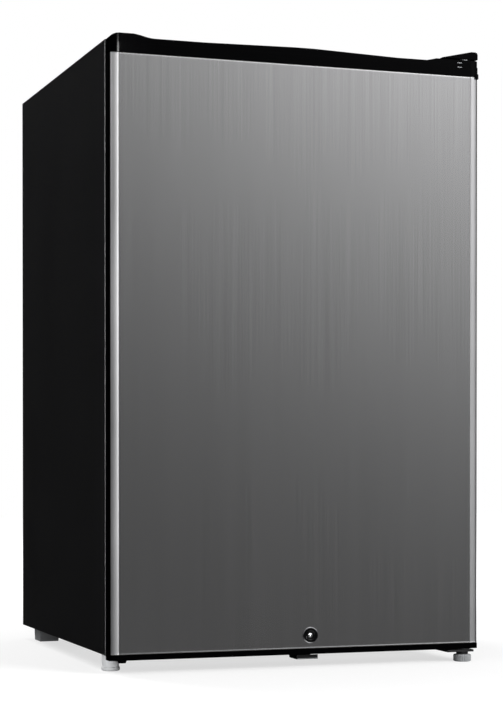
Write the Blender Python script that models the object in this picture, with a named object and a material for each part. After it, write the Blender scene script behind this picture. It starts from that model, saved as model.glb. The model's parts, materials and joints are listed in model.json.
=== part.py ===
"""A free-standing compact refrigerator with one lockable door, modelled at its real size.

Metres, +Z up. The origin is at the middle of the footprint, on the floor. +X is to the right of
someone who faces the door, and the door faces -Y.
"""

import math

import bmesh
import bpy
from mathutils import Matrix, Vector

# Cabinet
CABINET_WIDTH = 0.528
CABINET_DEPTH = 0.505
CABINET_HEIGHT = 0.822
FLOOR_CLEARANCE = 0.022
SHEET = 0.0007
FOLD_RADIUS = 0.0012
FRONT_FLANGE = 0.014
BOTTOM_FLANGE = 0.036
REAR_FLANGE = 0.012
SIDE_WALL = 0.040
TOP_WALL = 0.045
REAR_WALL = 0.045
FLOOR_WALL = 0.050
RAIL_DEPTH = 0.046
RAIL_HEIGHT = 0.025
RAIL_SHEET = 0.0015
LINER_SHEET = 0.0015
LINER_CORNER = 0.012
CLEARANCE = 0.0003

# Compressor recess
RECESS_DEPTH = 0.205
RECESS_HEIGHT = 0.183
RECESS_WALL = 0.040
COMPRESSOR_RADIUS = 0.062
COMPRESSOR_HEIGHT = 0.128
COMPRESSOR_X = 0.045
POT_DOME = 0.45
POT_BASE = 0.72
POT_BASE_RISE = 0.40
POT_SEAM = 0.52
POT_LIP = 1.04
POT_LIP_HALF = 0.003
RELAY_WIDTH = 0.75
RELAY_REACH = 0.9
RELAY_HEIGHT = 0.62
MOUNT_SPACING_X = 0.150
MOUNT_SPACING_Y = 0.100
MOUNT_RADIUS = 0.010
MOUNT_HEIGHT = 0.014
STUD_RADIUS = 0.005
PLATE_SHEET = 0.002
PLATE_DEPTH = 0.150
PLATE_FLANGE = 0.012

# Condenser
TUBE_RADIUS = 0.0024
SUCTION_RADIUS = 0.0034
PROCESS_RADIUS = 0.0029
SUCTION_PORT = (150, 0.40)
DISCHARGE_PORT = (62, 0.62)
PROCESS_PORT = (212, 0.36)
DRIER_LENGTH = 0.088
WIDE_BEND = 0.013
TIGHT_BEND = 0.008
CONDENSER_STANDOFF = 0.016
CAPILLARY_SIDESTEP = 0.025
CONDENSER_SIDE_GAP = 0.059
CONDENSER_TOP_DROP = 0.055
CONDENSER_RUNS = 11
CONDENSER_PITCH = 0.052
STRAP_X = 0.120
STRAP_WIDTH = 0.014
STRAP_SHEET = 0.001

# Door
GLAND_BORE = 0.0035
GLAND_BARREL = 0.0065
GLAND_FLANGE = 0.0090
GLAND_NOSE = 0.0055
GASKET_THICKNESS = 0.012
GASKET_WIDTH = 0.016
GASKET_MARGIN = 0.0008
DOOR_THICKNESS = 0.024
SKIN = 0.0007
SKIN_HOOK = 0.009
DOOR_OVERHANG = 0.0028
DOOR_CORNER_X = 0.0123
DOOR_CORNER_Y = 0.0034
PANEL_RISE = 0.0043
PANEL_TOP_DROP = 0.024
CAP_PROUD = 0.0008
CAP_SEAM_DROP = 0.0105
CAP_REAR_INSET = 0.004
BOTTOM_CAP_DROP = 0.0035
CAP_FLOOR = 0.005
GRIP_LEFT_MARGIN = 0.059
GRIP_RIGHT_MARGIN = 0.084
GRIP_LIP = 0.0035
CAP_RISE = 0.0016
SHOULDER_WIDTH = 0.032
GRIP_END_DROP = 0.0033
RIDGE_SHIFT = 0.004
RIDGE_HALF = 0.0285
RIDGE_DROP = 0.0009
RIDGE_LEFT_RUN = 0.1275
RIDGE_RIGHT_RUN = 0.152
GRIP_HINGE_DROP = 0.0048
VALLEY = 0.009
HINGE_END_RISE = 0.014
HINGE_END_DROP = 0.0015

# Door inner side
DYKE_SIDE_GAP = 0.010
DYKE_WIDTH = 0.015
DYKE_REACH = 0.026
DYKE_BOTTOM = 0.082
DYKE_TOP = 0.618
BIN_REACH = 0.078
BIN_WALL = 0.002
BIN_HEIGHT = 0.062
BOTTOM_BIN_LEVEL = 0.110
MIDDLE_BIN_LEVEL = 0.335
TOP_BIN_LEVEL = 0.520
BIN_HOOK = 0.004
BIN_GAP = 0.0015
BIN_SLOPE = 0.008
BIN_SPREAD = 0.002
BIN_PAD_GAP = 0.0008
BOSS_SHARE = 0.6
BOSS_WIDTH = 0.010
BOSS_HEIGHT = 0.014

# Hinges
HINGE_INSET = 0.016
HINGE_FROM_FRONT = 0.010
PIN_RADIUS = 0.0035
PIN_GAP = 0.0003
BUSH_WALL = 0.0018
BUSH_FLANGE = 0.0012
BUSH_FLANGE_RADIUS = 0.0078
HINGE_SHEET = 0.0025
TOP_PIN_LENGTH = 0.011
TOP_BUSH_SPARE = 0.002
PLUG_HEAD = 0.004
PLUG_BRIM = 0.0008
BRACKET_SHEET = 0.003
BRACKET_WIDTH = 0.040
BRACKET_DROP = 0.0077
BRACKET_DEPTH = 0.045
COVER_HEIGHT = 0.0108
COVER_WALL = 0.0012
COVER_DEPTH = 0.048
COVER_WIDTH = 0.0545
COVER_TIP = 0.0005
COVER_CREST = 0.010
COVER_ROUND = 0.0035
COVER_SETBACK = 0.0008
COVER_PLATE_GAP = 0.002
PIN_MARGIN = 0.008
PLATE_SIDE = 0.006
JOGGLE_REACH = 0.004
BRACKET_SIDE = 0.0035

# Lock
LOCK_X = 0.0152
LOCK_RISE = 0.0225
LOCK_RADIUS = 0.009
LOCK_RING = 0.011
LOCK_PROUD = 0.0015
LOCK_DEPTH = 0.0165
CORE_RADIUS = 0.0062
CORE_RECESS = 0.0014
CAM_LENGTH = 0.0315
CAM_WIDTH = 0.010
CAM_SHEET = 0.0015
STRIKE_WIDTH = 0.031
STRIKE_DROP = 0.0115
STRIKE_SHEET = 0.0015
STRIKE_REACH = 0.0245
STRIKE_LIP = 0.0045
STRIKE_ROOT = 0.7

# Feet
FOOT_RADIUS = 0.0125
FOOT_INSET_X = 0.0135
FOOT_INSET_Y = 0.0225
FOOT_STUD_RADIUS = 0.0037
FOOT_STUD_LENGTH = 0.012
FOOT_SOCKET = 0.009
REAR_FOOT_WIDTH = 0.030
REAR_FOOT_DEPTH = 0.040
REAR_FOOT_INSET_X = 0.014
REAR_FOOT_INSET_Y = 0.021

# Freezer box
FREEZER_LEFT_GAP = 0.018
FREEZER_RIGHT_GAP = 0.096
FREEZER_FRONT = 0.135
FREEZER_REAR_GAP = 0.025
FREEZER_HEIGHT = 0.140
FREEZER_SHEET = 0.0016
HANGER_HEIGHT = 0.009
HANGER_WIDTH = 0.030
HANGER_INSET = 0.070
BEZEL_DEPTH = 0.016
BEZEL_BORDER = 0.0125
BEZEL_MARGIN = 0.004
FLAP_THICKNESS = 0.005
FLAP_GAP = 0.002
FLAP_PIN_RADIUS = 0.002
FLAP_LIP = 0.007
FLAP_LIP_HALF = 0.045
FLAP_LIP_SHEET = 0.003
TRAY_REAR_GAP = 0.020
TRAY_DROP = 0.006
TRAY_HEIGHT = 0.026
TRAY_WALL = 0.002
TRAY_FLANGE = 0.007
TRAY_BACK_GAP = 0.004
RAIL_LIP = 0.0025

# Thermostat
THERMOSTAT_WIDTH = 0.072
THERMOSTAT_DEPTH = 0.110
THERMOSTAT_HEIGHT = 0.095
THERMOSTAT_WALL = 0.002
KNOB_RADIUS = 0.019
KNOB_DEPTH = 0.014
KNOB_LEVEL = 0.45
KNOB_SHAFT = 0.0032
SHAFT_LENGTH = 0.008
SHAFT_HOLE = 0.0045
POINTER_HALF = 0.0012
SWITCH_HALF = 0.016
SWITCH_DEPTH = 0.028
SWITCH_SOCKET = 0.0036

# Shelves and drawer
SHELF_FRONT = 0.145
SHELF_BACK_GAP = 0.006
SHELF_SIDE_GAP = 0.0025
SHELF_GLASS = 0.004
LOWER_SHELF_LEVEL = 0.365
UPPER_SHELF_LEVEL = 0.485
RIB_WIDTH = 0.010
RIB_HEIGHT = 0.010
COVER_RIB_WIDTH = 0.018
RIB_START = 0.060
TRIM_DEPTH = 0.014
TRIM_WALL = 0.0025
DRAWER_FRONT = 0.112
DRAWER_WALL = 0.0025
DRAWER_SIDE_GAP = 0.020
DRAWER_TOP_GAP = 0.009
DRAWER_GRIP = 0.008
DRAWER_GRIP_SHARE = 0.35
DRAWER_GRIP_SHEET = 0.0034
COVER_FRONT_GAP = 0.004
DRAWER_REAR_GAP = 0.004

# Planes that the pieces share
HALF = CABINET_WIDTH / 2
DOOR_HALF = HALF + DOOR_OVERHANG
HINGE_SETBACK = GASKET_THICKNESS + DOOR_THICKNESS - HINGE_FROM_FRONT
FRONT_REACH = max(HINGE_SETBACK + FOOT_RADIUS, GASKET_THICKNESS + DOOR_THICKNESS + LOCK_PROUD)
REAR_REACH = CABINET_DEPTH + CLEARANCE + SHEET + CONDENSER_STANDOFF + TUBE_RADIUS
FRONT = (FRONT_REACH - REAR_REACH) / 2
BACK = FRONT + CABINET_DEPTH
BASE = FLOOR_CLEARANCE
TOP = BASE + CABINET_HEIGHT
INSIDE_HALF = HALF - SIDE_WALL
INSIDE_BACK = BACK - REAR_WALL
INSIDE_TOP = TOP - TOP_WALL
INSIDE_FLOOR = BASE + FLOOR_WALL
RECESS_FRONT = BACK - RECESS_DEPTH
RECESS_TOP = BASE + RECESS_HEIGHT
STEP_FRONT = RECESS_FRONT - RECESS_WALL
STEP_TOP = RECESS_TOP + RECESS_WALL
PAN_LEVEL = BASE + SHEET + CLEARANCE
RAIL_TOP = PAN_LEVEL + RAIL_HEIGHT
PLATE_LEVEL = PAN_LEVEL
PANEL_BACK_FACE = BACK + CLEARANCE + SHEET
CONDENSER_Y = PANEL_BACK_FACE + CONDENSER_STANDOFF
DOOR_REAR = FRONT - GASKET_THICKNESS
DOOR_FRONT = DOOR_REAR - DOOR_THICKNESS
PANEL_REAR = DOOR_REAR - LINER_SHEET - CLEARANCE
PANEL_BOTTOM = BASE + PANEL_RISE
PANEL_TOP = TOP - PANEL_TOP_DROP
CAP_REAR = DOOR_REAR - CAP_REAR_INSET
CAP_BOTTOM = PANEL_TOP + CLEARANCE
BOTTOM_CAP_LOW = BASE - BOTTOM_CAP_DROP
BOTTOM_CAP_TOP = PANEL_BOTTOM - CLEARANCE
HINGE_X = HALF - HINGE_INSET
HINGE_Y = DOOR_FRONT + HINGE_FROM_FRONT
HINGE_END_TOP = TOP - HINGE_END_DROP
CAP_TOP = TOP + CAP_RISE
COVER_RIGHT = DOOR_HALF
COVER_LEFT = COVER_RIGHT - COVER_WIDTH
BUSH_BORE = PIN_RADIUS + PIN_GAP
BUSH_RADIUS = BUSH_BORE + BUSH_WALL
BRACKET_TOP = BASE - CLEARANCE
ARM_TOP = BOTTOM_CAP_LOW - BUSH_FLANGE - CLEARANCE
LOCK_Z = BASE + LOCK_RISE
LOCK_REAR = DOOR_FRONT + LOCK_DEPTH
CAM_FRONT = LOCK_REAR + CLEARANCE
DYKE_OUTER = INSIDE_HALF - DYKE_SIDE_GAP
DYKE_INNER = DYKE_OUTER - DYKE_WIDTH
BIN_HALF = DYKE_INNER - BIN_HOOK - BIN_GAP
GRIP_LEFT = -HALF + GRIP_LEFT_MARGIN
GRIP_RIGHT = HALF - GRIP_RIGHT_MARGIN
CONDENSER_HALF_WIDTH = HALF - CONDENSER_SIDE_GAP
FREEZER_LEFT = -INSIDE_HALF + FREEZER_LEFT_GAP
FREEZER_RIGHT = INSIDE_HALF - FREEZER_RIGHT_GAP
FREEZER_TOP = INSIDE_TOP - HANGER_HEIGHT
FREEZER_BOTTOM = FREEZER_TOP - FREEZER_HEIGHT
FREEZER_Y = FRONT + FREEZER_FRONT
FREEZER_DEPTH = INSIDE_BACK - FREEZER_REAR_GAP - FREEZER_Y
TRAY_DEPTH = FREEZER_DEPTH - TRAY_REAR_GAP
TRAY_RIM = FREEZER_BOTTOM - TRAY_DROP
BEZEL_FRONT = FREEZER_Y - BEZEL_DEPTH
CRISPER_COVER_LEVEL = STEP_TOP + CLEARANCE
PAST = 0.02
BIN_LEVELS = (BOTTOM_BIN_LEVEL, MIDDLE_BIN_LEVEL, TOP_BIN_LEVEL)
SHELF_LEVELS = (LOWER_SHELF_LEVEL, UPPER_SHELF_LEVEL)

COLOURS = {
    "black_paint": ((0.012, 0.012, 0.013), 0.38, 0.0),
    "zinc_steel": ((0.52, 0.53, 0.54), 0.40, 0.9),
    "black_steel": ((0.015, 0.015, 0.016), 0.45, 0.3),
    "foam": ((0.80, 0.72, 0.48), 0.90, 0.0),
    "white_liner": ((0.80, 0.81, 0.81), 0.35, 0.0),
    "brushed_steel": ((0.30, 0.30, 0.31), 0.34, 0.9),
    "black_plastic": ((0.010, 0.010, 0.011), 0.28, 0.0),
    "gasket_rubber": ((0.020, 0.020, 0.022), 0.75, 0.0),
    "clear_plastic": ((0.72, 0.78, 0.80), 0.12, 0.0),
    "glass": ((0.70, 0.80, 0.78), 0.05, 0.0),
    "grey_plastic": ((0.45, 0.46, 0.47), 0.45, 0.0),
    "aluminium": ((0.70, 0.71, 0.72), 0.38, 0.9),
    "copper": ((0.62, 0.30, 0.17), 0.30, 0.9),
    "chrome": ((0.60, 0.60, 0.62), 0.15, 1.0),
    "rubber": ((0.020, 0.020, 0.020), 0.80, 0.0),
}


def finish_of(name):
    found = bpy.data.materials.get(name)
    if found:
        return found
    colour, roughness, metallic = COLOURS[name]
    made = bpy.data.materials.new(name)
    made.use_nodes = True
    shader = made.node_tree.nodes["Principled BSDF"]
    shader.inputs["Base Color"].default_value = (*colour, 1.0)
    shader.inputs["Roughness"].default_value = roughness
    shader.inputs["Metallic"].default_value = metallic
    return made


def object_from(name, shape, finish):
    """An object made from a bmesh. With no finish it is a hidden helper that cuts or joins another."""
    bmesh.ops.recalc_face_normals(shape, faces=shape.faces)
    mesh = bpy.data.meshes.new(name)
    shape.to_mesh(mesh)
    shape.free()
    made = bpy.data.objects.new(name, mesh)
    bpy.context.scene.collection.objects.link(made)
    if finish:
        mesh.materials.append(finish_of(finish))
        mesh.shade_smooth()
        mesh.set_sharp_from_angle(angle=math.radians(32))
    else:
        made.hide_render = True
        made.display_type = "WIRE"
    return made


def round_edges(shape, edges, radius, segments):
    bmesh.ops.bevel(
        shape,
        geom=edges,
        offset=radius,
        offset_type="OFFSET",
        segments=segments,
        profile=0.5,
        affect="EDGES",
    )


def box(name, low, high, finish=None, radius=0.0, segments=2):
    """A box between two corners. A radius rounds all its edges."""
    shape = bmesh.new()
    bmesh.ops.create_cube(shape, size=1.0)
    size = Vector(high) - Vector(low)
    centre = (Vector(high) + Vector(low)) / 2
    bmesh.ops.scale(shape, vec=size, verts=shape.verts)
    bmesh.ops.translate(shape, vec=centre, verts=shape.verts)
    if radius:
        round_edges(shape, shape.edges[:], radius, segments)
    return object_from(name, shape, finish)


def in_space(axis, first, second, along):
    """A point from its place in the plane across an axis and its place along that axis."""
    places = {"X": (along, first, second), "Y": (first, along, second), "Z": (first, second, along)}
    return Vector(places[axis])


def prism(name, outline, axis, start, end, finish=None, radius=0.0, segments=2):
    """An outline, given in the plane across an axis, extruded along that axis."""
    shape = bmesh.new()
    corners = [shape.verts.new(in_space(axis, u, v, start)) for u, v in outline]
    face = shape.faces.new(corners)
    extruded = bmesh.ops.extrude_face_region(shape, geom=[face])["geom"]
    moved = [item for item in extruded if isinstance(item, bmesh.types.BMVert)]
    bmesh.ops.translate(shape, vec=in_space(axis, 0, 0, end - start), verts=moved)
    if radius:
        round_edges(shape, shape.edges[:], radius, segments)
    return object_from(name, shape, finish)


def turned(name, profile, centre, finish=None, axis="Z", sides=24, closed=False):
    """A profile of (radius, height) points turned about an axis. A closed profile makes a ring."""
    shape = bmesh.new()
    base = Vector(centre)
    rings = []
    for radius, height in profile:
        if radius == 0:
            rings.append([shape.verts.new(base + in_space(axis, 0, 0, height))] * sides)
            continue
        ring = []
        for step in range(sides):
            turn = math.tau * step / sides
            across = in_space(axis, radius * math.cos(turn), radius * math.sin(turn), height)
            ring.append(shape.verts.new(base + across))
        rings.append(ring)
    pairs = list(zip(rings, rings[1:]))
    if closed:
        pairs.append((rings[-1], rings[0]))
    for lower, upper in pairs:
        for step in range(sides):
            after = (step + 1) % sides
            corners = [lower[step], lower[after], upper[after], upper[step]]
            shape.faces.new(list(dict.fromkeys(corners)))
    return object_from(name, shape, finish)


def rod(name, radius, centre, start, end, axis="Z", finish=None, sides=24):
    """A plain cylinder whose ends lie at start and end along the axis, measured from the centre."""
    profile = [(0, start), (radius, start), (radius, end), (0, end)]
    return turned(name, profile, centre, finish, axis, sides)


def tube(name, points, radius, finish, resolution=2):
    """A round bar or tube along a line of points."""
    curve = bpy.data.curves.new(name, "CURVE")
    curve.dimensions = "3D"
    curve.bevel_depth = radius
    curve.bevel_resolution = resolution
    curve.use_fill_caps = True
    spline = curve.splines.new("POLY")
    spline.points.add(len(points) - 1)
    for point, place in zip(spline.points, points):
        point.co = (*place, 1.0)
    spline.use_smooth = True
    curve.materials.append(finish_of(finish))
    made = bpy.data.objects.new(name, curve)
    bpy.context.scene.collection.objects.link(made)
    return made


def combine(body, operation, tools):
    for tool in tools:
        modifier = body.modifiers.new(tool.name, "BOOLEAN")
        modifier.operation = operation
        modifier.solver = "EXACT"
        modifier.object = tool
    return body


def cut(body, *tools):
    return combine(body, "DIFFERENCE", tools)


def join(body, *tools):
    return combine(body, "UNION", tools)


def rounded_route(corners, radius, steps=4):
    """A route through the corners, with an arc of the radius at each inner corner."""
    points = [Vector(corners[0])]
    for before, here, after in zip(corners, corners[1:], corners[2:]):
        here = Vector(here)
        back = (Vector(before) - here).normalized()
        ahead = (Vector(after) - here).normalized()
        half_angle = back.angle(ahead) / 2
        reach = radius / math.tan(half_angle)
        centre = here + (back + ahead).normalized() * radius / math.sin(half_angle)
        start = (here + back * reach - centre).normalized()
        end = (here + ahead * reach - centre).normalized()
        for step in range(steps + 1):
            points.append(centre + start.slerp(end, step / steps) * radius)
    points.append(Vector(corners[-1]))
    return points


def mirrored(outline):
    return [(-u, v) for u, v in reversed(outline)]


def empty_at(name, place):
    made = bpy.data.objects.new(name, None)
    made.location = place
    bpy.context.scene.collection.objects.link(made)
    return made


def hang_on(parent, *pieces):
    """Parents pieces to an empty that stands on their joint's axis, and leaves them where they are."""
    for piece in pieces:
        piece.parent = parent
        piece.matrix_parent_inverse = Matrix.Translation(-parent.location)


# ---------------------------------------------------------------- cabinet


def front_foot_place():
    return (-HALF + FOOT_INSET_X, FRONT + FOOT_INSET_Y, 0)


def stud_hole(name, low, high):
    return rod(name, FOOT_STUD_RADIUS + PIN_GAP, front_foot_place(), low, high)


def outer_shell():
    body = box("outer_shell", (-HALF, FRONT, BASE), (HALF, BACK, TOP), "black_paint", FOLD_RADIUS, 3)
    inner = HALF - SHEET
    hollow = box("shell_hollow", (-inner, FRONT + SHEET, BASE + SHEET), (inner, BACK - SHEET, TOP - SHEET))
    mouth_half = HALF - FRONT_FLANGE
    mouth = box(
        "shell_mouth",
        (-mouth_half, FRONT - PAST, BASE + SHEET),
        (mouth_half, FRONT + PAST, TOP - FRONT_FLANGE),
    )
    floor_half = HALF - BOTTOM_FLANGE
    floor = box(
        "shell_floor",
        (-floor_half, FRONT - PAST, BASE - PAST),
        (floor_half, BACK + PAST, BASE + PAST),
    )
    rear_half = HALF - REAR_FLANGE
    rear = box(
        "shell_rear",
        (-rear_half, BACK - PAST, BASE + SHEET),
        (rear_half, BACK + PAST, TOP - REAR_FLANGE),
    )
    return cut(body, hollow, mouth, floor, rear, stud_hole("shell_stud_hole", BASE - PAST, BASE + PAST))


def back_panel():
    side = HALF - REAR_FLANGE / 2
    low = (-side, BACK + CLEARANCE, RECESS_TOP)
    high = (side, PANEL_BACK_FACE, TOP - REAR_FLANGE / 2)
    return box("back_panel", low, high, "black_paint")


def floor_pan():
    start = FRONT + RAIL_DEPTH + CLEARANCE
    rear = BACK - SHEET - CLEARANCE
    outline = [
        (start, PAN_LEVEL),
        (RECESS_FRONT, PAN_LEVEL),
        (RECESS_FRONT, RECESS_TOP),
        (rear, RECESS_TOP),
        (rear, RECESS_TOP + REAR_FLANGE),
        (rear - SHEET, RECESS_TOP + REAR_FLANGE),
        (rear - SHEET, RECESS_TOP + SHEET),
        (RECESS_FRONT - SHEET, RECESS_TOP + SHEET),
        (RECESS_FRONT - SHEET, PAN_LEVEL + SHEET),
        (start, PAN_LEVEL + SHEET),
    ]
    side = HALF - SHEET - CLEARANCE
    return prism("floor_pan", outline, "X", -side, side, "zinc_steel")


def front_crossrail():
    outline = [
        (FRONT, PAN_LEVEL),
        (FRONT + RAIL_DEPTH, PAN_LEVEL),
        (FRONT + RAIL_DEPTH, PAN_LEVEL + RAIL_SHEET),
        (FRONT + RAIL_SHEET, PAN_LEVEL + RAIL_SHEET),
        (FRONT + RAIL_SHEET, RAIL_TOP),
        (FRONT, RAIL_TOP),
    ]
    side = HALF - FRONT_FLANGE - CLEARANCE
    rail = prism("front_crossrail", outline, "X", -side, side, "black_steel")
    return cut(rail, stud_hole("rail_stud_hole", BASE, RAIL_TOP))


def cavity_outline(grow):
    """The liner's inner space from the side, grown on every wall. Its mouth runs past the front."""
    mouth = FRONT - PAST - LINER_CORNER
    floor = INSIDE_FLOOR - grow
    step_front = STEP_FRONT + grow
    step_top = STEP_TOP - grow
    rear = INSIDE_BACK + grow
    ceiling = INSIDE_TOP + grow
    return [
        (mouth, floor),
        (step_front, floor),
        (step_front, step_top),
        (rear, step_top),
        (rear, ceiling),
        (mouth, ceiling),
    ]


def cavity(name, grow, finish=None):
    side = INSIDE_HALF + grow
    return prism(name, cavity_outline(grow), "X", -side, side, finish, LINER_CORNER + grow, 3)


def foam_insulation():
    front = FRONT + RAIL_SHEET + CLEARANCE
    rear = BACK - 2 * (SHEET + CLEARANCE)
    low = PAN_LEVEL + RAIL_SHEET + CLEARANCE
    wall = RECESS_FRONT - SHEET - CLEARANCE
    step = RECESS_TOP + SHEET + CLEARANCE
    high = TOP - SHEET - CLEARANCE
    outline = [(front, low), (wall, low), (wall, step), (rear, step), (rear, high), (front, high)]
    side = HALF - SHEET - CLEARANCE
    foam = prism("foam_insulation", outline, "X", -side, side, "foam")
    stud = stud_hole("foam_stud_hole", BASE, BASE + 2 * FOOT_STUD_LENGTH)
    return cut(foam, cavity("foam_cavity", LINER_SHEET + CLEARANCE), stud)


def inner_liner():
    liner = cavity("inner_liner", LINER_SHEET, "white_liner")
    mouth = FRONT - PAST - 2 * LINER_CORNER
    flange_half = HALF - FRONT_FLANGE - CLEARANCE
    flange = box(
        "liner_flange",
        (-flange_half, FRONT, RAIL_TOP + CLEARANCE),
        (flange_half, FRONT + LINER_SHEET, TOP - FRONT_FLANGE - CLEARANCE),
    )
    front_trim = box("liner_front_trim", (-HALF, mouth, BASE), (HALF, FRONT, TOP))
    join(liner, flange)
    cut(liner, front_trim, cavity("liner_cavity", 0.0))
    return join(liner, *liner_ribs())


def liner_ribs():
    """The ribs on both side walls that carry the shelves."""
    ribs = []
    for number, level in enumerate((*SHELF_LEVELS, CRISPER_COVER_LEVEL)):
        over_step = level == CRISPER_COVER_LEVEL
        width = COVER_RIB_WIDTH if over_step else RIB_WIDTH
        rear = (STEP_FRONT if over_step else INSIDE_BACK) - LINER_CORNER
        for side in (-1, 1):
            inner = side * (INSIDE_HALF - width)
            outer = side * (INSIDE_HALF + LINER_SHEET / 2)
            low = (min(inner, outer), FRONT + RIB_START, level - CLEARANCE - RIB_HEIGHT)
            high = (max(inner, outer), rear, level - CLEARANCE)
            ribs.append(box(f"liner_rib_{number}_{side}", low, high))
    return ribs


def compressor_plate():
    rear = BACK - REAR_FLANGE
    front = rear - PLATE_DEPTH
    low = PLATE_LEVEL
    top = low + PLATE_SHEET
    outline = [
        (front, low),
        (rear, low),
        (rear, low + PLATE_FLANGE),
        (rear - PLATE_SHEET, low + PLATE_FLANGE),
        (rear - PLATE_SHEET, top),
        (front + PLATE_SHEET, top),
        (front + PLATE_SHEET, low + PLATE_FLANGE),
        (front, low + PLATE_FLANGE),
    ]
    side = HALF - SHEET - CLEARANCE
    return prism("compressor_plate", outline, "X", -side, side, "black_steel")


def rear_foot(name, side):
    centre_x = side * (HALF - REAR_FOOT_INSET_X - REAR_FOOT_WIDTH / 2)
    rear = BACK - REAR_FOOT_INSET_Y
    front = rear - REAR_FOOT_DEPTH
    high = BASE - CLEARANCE
    taper = REAR_FOOT_WIDTH / 12
    outline = [
        (front + taper, 0),
        (rear - taper, 0),
        (rear, high / 2),
        (rear, high),
        (front, high),
        (front, high / 2),
    ]
    half = REAR_FOOT_WIDTH / 2
    foot = prism(name, outline, "X", centre_x - half, centre_x + half, "grey_plastic")
    wall = REAR_FOOT_WIDTH / 8
    pocket = box(
        f"{name}_pocket",
        (centre_x - half + wall, front + 2 * wall, high / 3),
        (centre_x + half - wall, rear - 2 * wall, high + PAST),
    )
    return cut(foot, pocket)


def foot_front_left():
    high = BASE - CLEARANCE
    edge = FOOT_RADIUS / 8
    profile = [
        (0, 0),
        (FOOT_RADIUS - edge, 0),
        (FOOT_RADIUS, edge),
        (FOOT_RADIUS, high),
        (FOOT_STUD_RADIUS, high),
        (FOOT_STUD_RADIUS, high + FOOT_STUD_LENGTH),
        (0, high + FOOT_STUD_LENGTH),
    ]
    return turned("foot_front_left", profile, front_foot_place(), "grey_plastic")


def foot_front_right():
    """The foot that screws on the lower end of the hinge pin."""
    high = ARM_TOP - BRACKET_SHEET - CLEARANCE
    edge = FOOT_RADIUS / 8
    bore = PIN_RADIUS + PIN_GAP
    floor = high - FOOT_SOCKET
    profile = [
        (0, 0),
        (FOOT_RADIUS - edge, 0),
        (FOOT_RADIUS, edge),
        (FOOT_RADIUS, high - edge),
        (FOOT_RADIUS - edge, high),
        (bore, high),
        (bore, floor),
        (0, floor),
    ]
    return turned("foot_front_right", profile, (HINGE_X, HINGE_Y, 0), "grey_plastic")


# ---------------------------------------------------------------- cooling circuit


def compressor_centre():
    rear = BACK - REAR_FLANGE
    return (COMPRESSOR_X, rear - PLATE_DEPTH / 2)


def mount_places():
    x, y = compressor_centre()
    for across in (-0.5, 0.5):
        for along in (-0.5, 0.5):
            yield (x + across * MOUNT_SPACING_X, y + along * MOUNT_SPACING_Y)


def compressor_mounts():
    """Rubber grommets between the plate and the compressor's feet."""
    low = PLATE_LEVEL + PLATE_SHEET + CLEARANCE
    high = low + MOUNT_HEIGHT
    waist = MOUNT_RADIUS * 0.8
    profile = [
        (0, low),
        (MOUNT_RADIUS, low),
        (waist, (low + high) / 2),
        (MOUNT_RADIUS, high),
        (STUD_RADIUS, high),
        (STUD_RADIUS, high + 2 * STUD_RADIUS),
        (0, high + 2 * STUD_RADIUS),
    ]
    made = []
    for number, (x, y) in enumerate(mount_places(), 1):
        made.append(turned(f"compressor_mount_{number}", profile, (x, y, 0), "rubber", sides=16))
    return made


def foot_plate_level():
    return PLATE_LEVEL + PLATE_SHEET + MOUNT_HEIGHT + 2 * CLEARANCE


def compressor():
    x, y = compressor_centre()
    low = foot_plate_level()
    radius = COMPRESSOR_RADIUS
    dome = radius * POT_DOME
    profile = [(0, low)]
    for step in range(5):
        turn = math.pi / 2 * step / 4
        rise = low + dome * POT_BASE_RISE * (1 - math.cos(turn))
        profile.append((radius * (POT_BASE + (1 - POT_BASE) * math.sin(turn)), rise))
    seam = low + COMPRESSOR_HEIGHT * POT_SEAM
    lip = radius * POT_LIP
    profile += [(radius, seam - POT_LIP_HALF), (lip, seam - POT_LIP_HALF)]
    profile += [(lip, seam + POT_LIP_HALF), (radius, seam + POT_LIP_HALF)]
    shoulder = low + COMPRESSOR_HEIGHT - dome
    for step in range(6):
        turn = math.pi / 2 * step / 6
        profile.append((radius * math.cos(turn), shoulder + dome * math.sin(turn)))
    profile.append((0, shoulder + dome))
    pot = turned("compressor", profile, (x, y, 0), "black_steel", sides=32)
    reach_x = MOUNT_SPACING_X / 2 + MOUNT_RADIUS
    reach_y = MOUNT_SPACING_Y / 2 + MOUNT_RADIUS
    plate = box(
        "compressor_feet",
        (x - reach_x, y - reach_y, low),
        (x + reach_x, y + reach_y, low + PLATE_SHEET),
    )
    bore = STUD_RADIUS + PIN_GAP
    holes = [
        rod(f"compressor_foot_hole_{number}", bore, (*place, 0), low - PAST, low + PAST, sides=16)
        for number, place in enumerate(mount_places(), 1)
    ]
    return cut(join(pot, plate), *holes)


def relay_cover():
    x, y = compressor_centre()
    side = x + COMPRESSOR_RADIUS * POT_LIP + CLEARANCE
    low = foot_plate_level() + PLATE_SHEET + CLEARANCE
    width = COMPRESSOR_RADIUS * RELAY_WIDTH
    height = COMPRESSOR_HEIGHT * RELAY_HEIGHT
    corner = (side + width * RELAY_REACH, y + width / 2, low + height)
    return box("relay_cover", (side, y - width / 2, low), corner, "black_plastic", 0.003, 2)


def condenser_tube():
    """A serpentine on the back, with its inlet riser at the right and its outlet at the lower left."""
    top = TOP - CONDENSER_TOP_DROP
    side = CONDENSER_HALF_WIDTH
    inlet_x = side + CONDENSER_PITCH / 2
    corners = [(inlet_x, CONDENSER_Y, RECESS_TOP - PAST), (inlet_x, CONDENSER_Y, top)]
    for run in range(CONDENSER_RUNS):
        level = top - run * CONDENSER_PITCH
        here = side if run % 2 == 0 else -side
        if run:
            corners.append((here, CONDENSER_Y, level))
        corners.append((-here, CONDENSER_Y, level))
    end_x = corners[-1][0]
    corners.append((end_x, CONDENSER_Y, drier_top() + CLEARANCE))
    route = rounded_route(corners, CONDENSER_PITCH * 0.3)
    return tube("condenser_tube", route, TUBE_RADIUS, "black_steel")


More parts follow.
